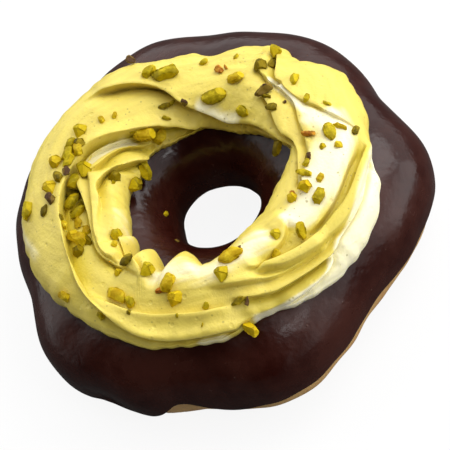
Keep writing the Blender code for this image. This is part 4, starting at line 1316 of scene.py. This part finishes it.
@dataclass
class ChoppedPistachios:
    """Every bit on the cream, copied from a few blanks and gathered in one piece for each kind."""

    form: RingForm
    cream: PipedCream
    grounds: tuple[bpy.types.Object, ...]
    seed: int = 41
    blanks_of_each: int = 4
    sink: float = 0.34
    least_lift: float = 0.15
    tilt_lift: float = 0.35
    sway: float = 14.0
    drop: float = 24.0
    fall: float = 36.0
    feelers: int = 6
    feeler_reach: float = 0.3
    prop: float = 0.7

    def feel(self, bit: Bit, trees: list[BVHTree]) -> tuple[list[Vector], list[Vector]]:
        """Spots under a bit, the middle one first, and the surface's slopes there."""
        direction = np.array(bit.direction)
        outer_turn, inner_turn, _ = self.form.strip(direction)
        turn = np.array(float(outer_turn + (inner_turn - outer_turn) * bit.across))
        way = Vector(self.form.normal(direction, turn))
        start = Vector(self.form.skin(direction, turn) + self.cream.offset)
        side = way.orthogonal().normalized()
        spots, slopes = [], []
        for feeler in range(self.feelers + 1):
            turned = Matrix.Rotation(2 * math.pi * feeler / self.feelers, 3, way)
            shift = turned @ side if feeler else Vector()
            origin = (start + shift * self.feeler_reach * bit.length + way * self.drop) * MM
            rays = (tree.ray_cast(origin, -way, self.fall * MM) for tree in trees)
            spot, slope = next(ray[:2] for ray in rays if ray[0] is not None)
            spots.append(spot)
            slopes.append(slope)
        return spots, slopes

    def seat(self, bit: Bit, trees: list[BVHTree], draw: random.Random) -> Matrix:
        """Where a bit lies: it drops square onto the cream and settles on the slope there.

        Args:
            bit: The bit to lay.
            trees: Surfaces to land on, the cream's first.
            draw: Source of the small tilts.

        Returns:
            The bit's place in metres, without its scale.
        """
        spots, slopes = self.feel(bit, trees)
        up = sum(slopes, Vector()).normalized()
        bearing, tilt = math.radians(bit.bearing), math.radians(bit.tilt)
        ahead = Vector((math.cos(bearing), math.sin(bearing), 0))
        ahead = (ahead - up * ahead.dot(up)).normalized()
        turned = Matrix((ahead, up.cross(ahead), up)).transposed() @ Matrix.Rotation(-tilt, 3, "Y")
        turned = turned @ Matrix.Rotation(math.radians(draw.uniform(-self.sway, self.sway)), 3, "X")
        above = BLADES[bit.cut].thickness * bit.length * (0.5 - self.sink)
        lift = max(above, self.least_lift) + bit.length * self.tilt_lift * math.sin(tilt)
        propped = max((spot - spots[0]).dot(up) for spot in spots) * self.prop
        return Matrix.Translation(spots[0] + up * (lift * MM + propped)) @ turned.to_4x4()

    def build(self, effects: Effects) -> list[bpy.types.Object]:
        """Chop the blanks, lay out every bit, and gather each kind in one dressed piece."""
        draw = random.Random(self.seed)
        graph = bpy.context.evaluated_depsgraph_get()
        trees = [BVHTree.FromObject(ground, graph) for ground in self.grounds]
        chopper, numbers = Chopper(), range(self.blanks_of_each)
        blanks = {(cut, number): chopper.blank(cut, number) for cut in Cut for number in numbers}
        heaps: dict[Kind, list[bpy.types.Object]] = {kind: [] for kind in Kind}
        for bit in BITS:
            blank = blanks[bit.cut, draw.randrange(self.blanks_of_each)]
            copy = bpy.data.objects.new(f"{bit.kind.value}_bit", blank.data.copy())
            bpy.context.scene.collection.objects.link(copy)
            copy.data.transform(self.seat(bit, trees, draw) @ Matrix.Scale(bit.length * MM, 4))
            heaps[bit.kind].append(copy)
        for blank in blanks.values():
            bpy.data.objects.remove(blank, do_unlink=True)
        return [self.gather(kind, heap, effects) for kind, heap in heaps.items()]

    @staticmethod
    def gather(kind: Kind, heap: list[bpy.types.Object], effects: Effects) -> bpy.types.Object:
        """Join the bits of one kind."""
        Bench.clear_selection()
        for bit in heap:
            bit.select_set(True)
        bpy.context.view_layer.objects.active = heap[0]
        bpy.ops.object.join()
        piece = bpy.context.object
        piece.name = piece.data.name = f"chopped_pistachio_{kind.value}"
        return Bench.dress(piece, KERNEL_FINISHES[kind].material(effects), "pistachio")


# ---------------------------------------------------------------- studio
@dataclass(frozen=True)
class Lamp:
    """One square soft light: its place and size in metres, and its energy."""

    name: str
    place: tuple[float, float, float]
    size: float
    energy: float


@dataclass
class Studio:
    """Floor, soft light and the camera. Angles are in degrees; a px value is a place in the picture."""

    elevation: float = 55.07
    roll: float = 30.96
    pixels_per_mm: float = 4.24
    picture: float = 450.0
    middle_px: tuple[float, float] = (213.45, 212.47)
    middle_height: float = 14.0
    distance: float = 380.0
    sensor: float = 36.0
    clip_start: float = 0.01
    floor_radius: float = 1.5
    floor_corners: int = 96
    floor_border: float = 0.05
    world_strength: float = 1.66
    dark_elevation: float = 22.0
    dark_direction: float = 226.0
    dark_edge: tuple[float, float] = (0.15, 0.72)
    dark: Colour = (0.02, 0.02, 0.02, 1)
    aim: tuple[float, float, float] = (0, 0, 0.02)
    lamps: tuple[Lamp, ...] = (
        Lamp("key", (0.38, 0.09, 0.42), 0.30, 1.15),
        Lamp("front", (0.135, -0.26, 0.35), 0.06, 0.16),
        Lamp("side", (0.46, -0.16, 0.10), 0.34, 0.75))

    def camera(self, offset: np.ndarray) -> None:
        """Stand the camera where the picture was taken from."""
        tip, roll = math.radians(self.elevation), math.radians(self.roll)
        back = Vector((0, -math.cos(tip), math.sin(tip)))
        right = Vector((1, 0, 0))
        up = back.cross(right)
        left_px = (self.picture / 2 - self.middle_px[0]) / self.pixels_per_mm
        down_px = (self.picture / 2 - self.middle_px[1]) / self.pixels_per_mm
        aside = left_px * math.cos(roll) - down_px * math.sin(roll)
        rise = -(left_px * math.sin(roll) + down_px * math.cos(roll))
        middle = Vector((0, 0, self.middle_height)) + Vector(offset)
        target = (middle + right * aside + up * rise) * MM
        data = bpy.data.cameras.new("camera")
        data.sensor_width = self.sensor
        data.lens = self.sensor * self.pixels_per_mm * self.distance / self.picture
        data.clip_start = self.clip_start
        camera = bpy.data.objects.new("camera", data)
        bpy.context.scene.collection.objects.link(camera)
        stand = Matrix.Translation(target + back * self.distance * MM)
        facing = Matrix((right, up, back)).transposed().to_4x4()
        camera.matrix_world = stand @ facing @ Matrix.Rotation(-roll, 4, "Z")
        bpy.context.scene.camera = camera

    def floor(self) -> None:
        """Lay the board that the doughnut stands on."""
        Bench.clear_selection()
        bpy.ops.mesh.primitive_circle_add(
            vertices=self.floor_corners, radius=self.floor_radius, fill_type="NGON")
        floor = bpy.context.object
        floor.name = "floor"
        bpy.ops.object.mode_set(mode="EDIT")
        bpy.ops.mesh.select_all(action="SELECT")
        bpy.ops.mesh.inset(thickness=self.floor_border)
        bpy.ops.object.mode_set(mode="OBJECT")
        floor.data.materials.append(FloorFinish().material())

    def hang(self, lamp: Lamp) -> None:
        """Hang one lamp, turned towards the doughnut."""
        data = bpy.data.lights.new(lamp.name, "AREA")
        data.size, data.energy = lamp.size, lamp.energy
        hung = bpy.data.objects.new(lamp.name, data)
        hung.location = lamp.place
        hung.rotation_mode = "QUATERNION"
        hung.rotation_quaternion = (Vector(lamp.place) - Vector(self.aim)).to_track_quat("Z", "Y")
        bpy.context.scene.collection.objects.link(hung)

    def surround(self) -> None:
        """White on every side, and dark behind the camera."""
        world = bpy.data.worlds.new("white_surround")
        bpy.context.scene.world = world
        world.use_nodes = True
        graph = Graph(world.node_tree)
        tip, spin = math.radians(self.dark_elevation), math.radians(self.dark_direction)
        towards = graph.node("ShaderNodeVectorMath", operation="DOT_PRODUCT")
        graph.feed(towards.inputs[0], graph.node("ShaderNodeTexCoord").outputs["Generated"])
        graph.feed(towards.inputs[1],
                   (math.cos(tip) * math.cos(spin), math.cos(tip) * math.sin(spin), math.sin(tip)))
        dark = graph.remap(towards.outputs["Value"], *self.dark_edge)
        graph.fill(world.node_tree.nodes["Background"],
                   Color=graph.mix(dark, WHITE, self.dark), Strength=self.world_strength)

    def light(self) -> None:
        """A broad light from the right, a weak one in front and a low one at the side, in the surround."""
        self.surround()
        for lamp in self.lamps:
            self.hang(lamp)
        bpy.context.scene.view_settings.view_transform = "Standard"


def main() -> None:
    """Build the doughnut from the inside out, then the studio."""
    logging.basicConfig(level=logging.INFO, format="%(name)s: %(message)s")
    form = RingForm()
    offset = form.middle_offset()
    effects = Effects()
    dough = DoughRing(form, offset).build(effects)
    glaze = ChocolateGlaze(form, offset).build(effects)
    piped = PipedCream(form, offset)
    cream = piped.build(effects)
    nuts = ChoppedPistachios(form, piped, (cream, glaze)).build(effects)
    for piece in (dough, glaze, cream, *nuts):
        LOG.info("%s: %d faces", piece.name, len(piece.data.polygons))
    studio = Studio()
    studio.floor()
    studio.light()
    studio.camera(offset)
    LOG.info("offset %s mm", np.round(offset, 3))


if __name__ == "__main__":
    main()
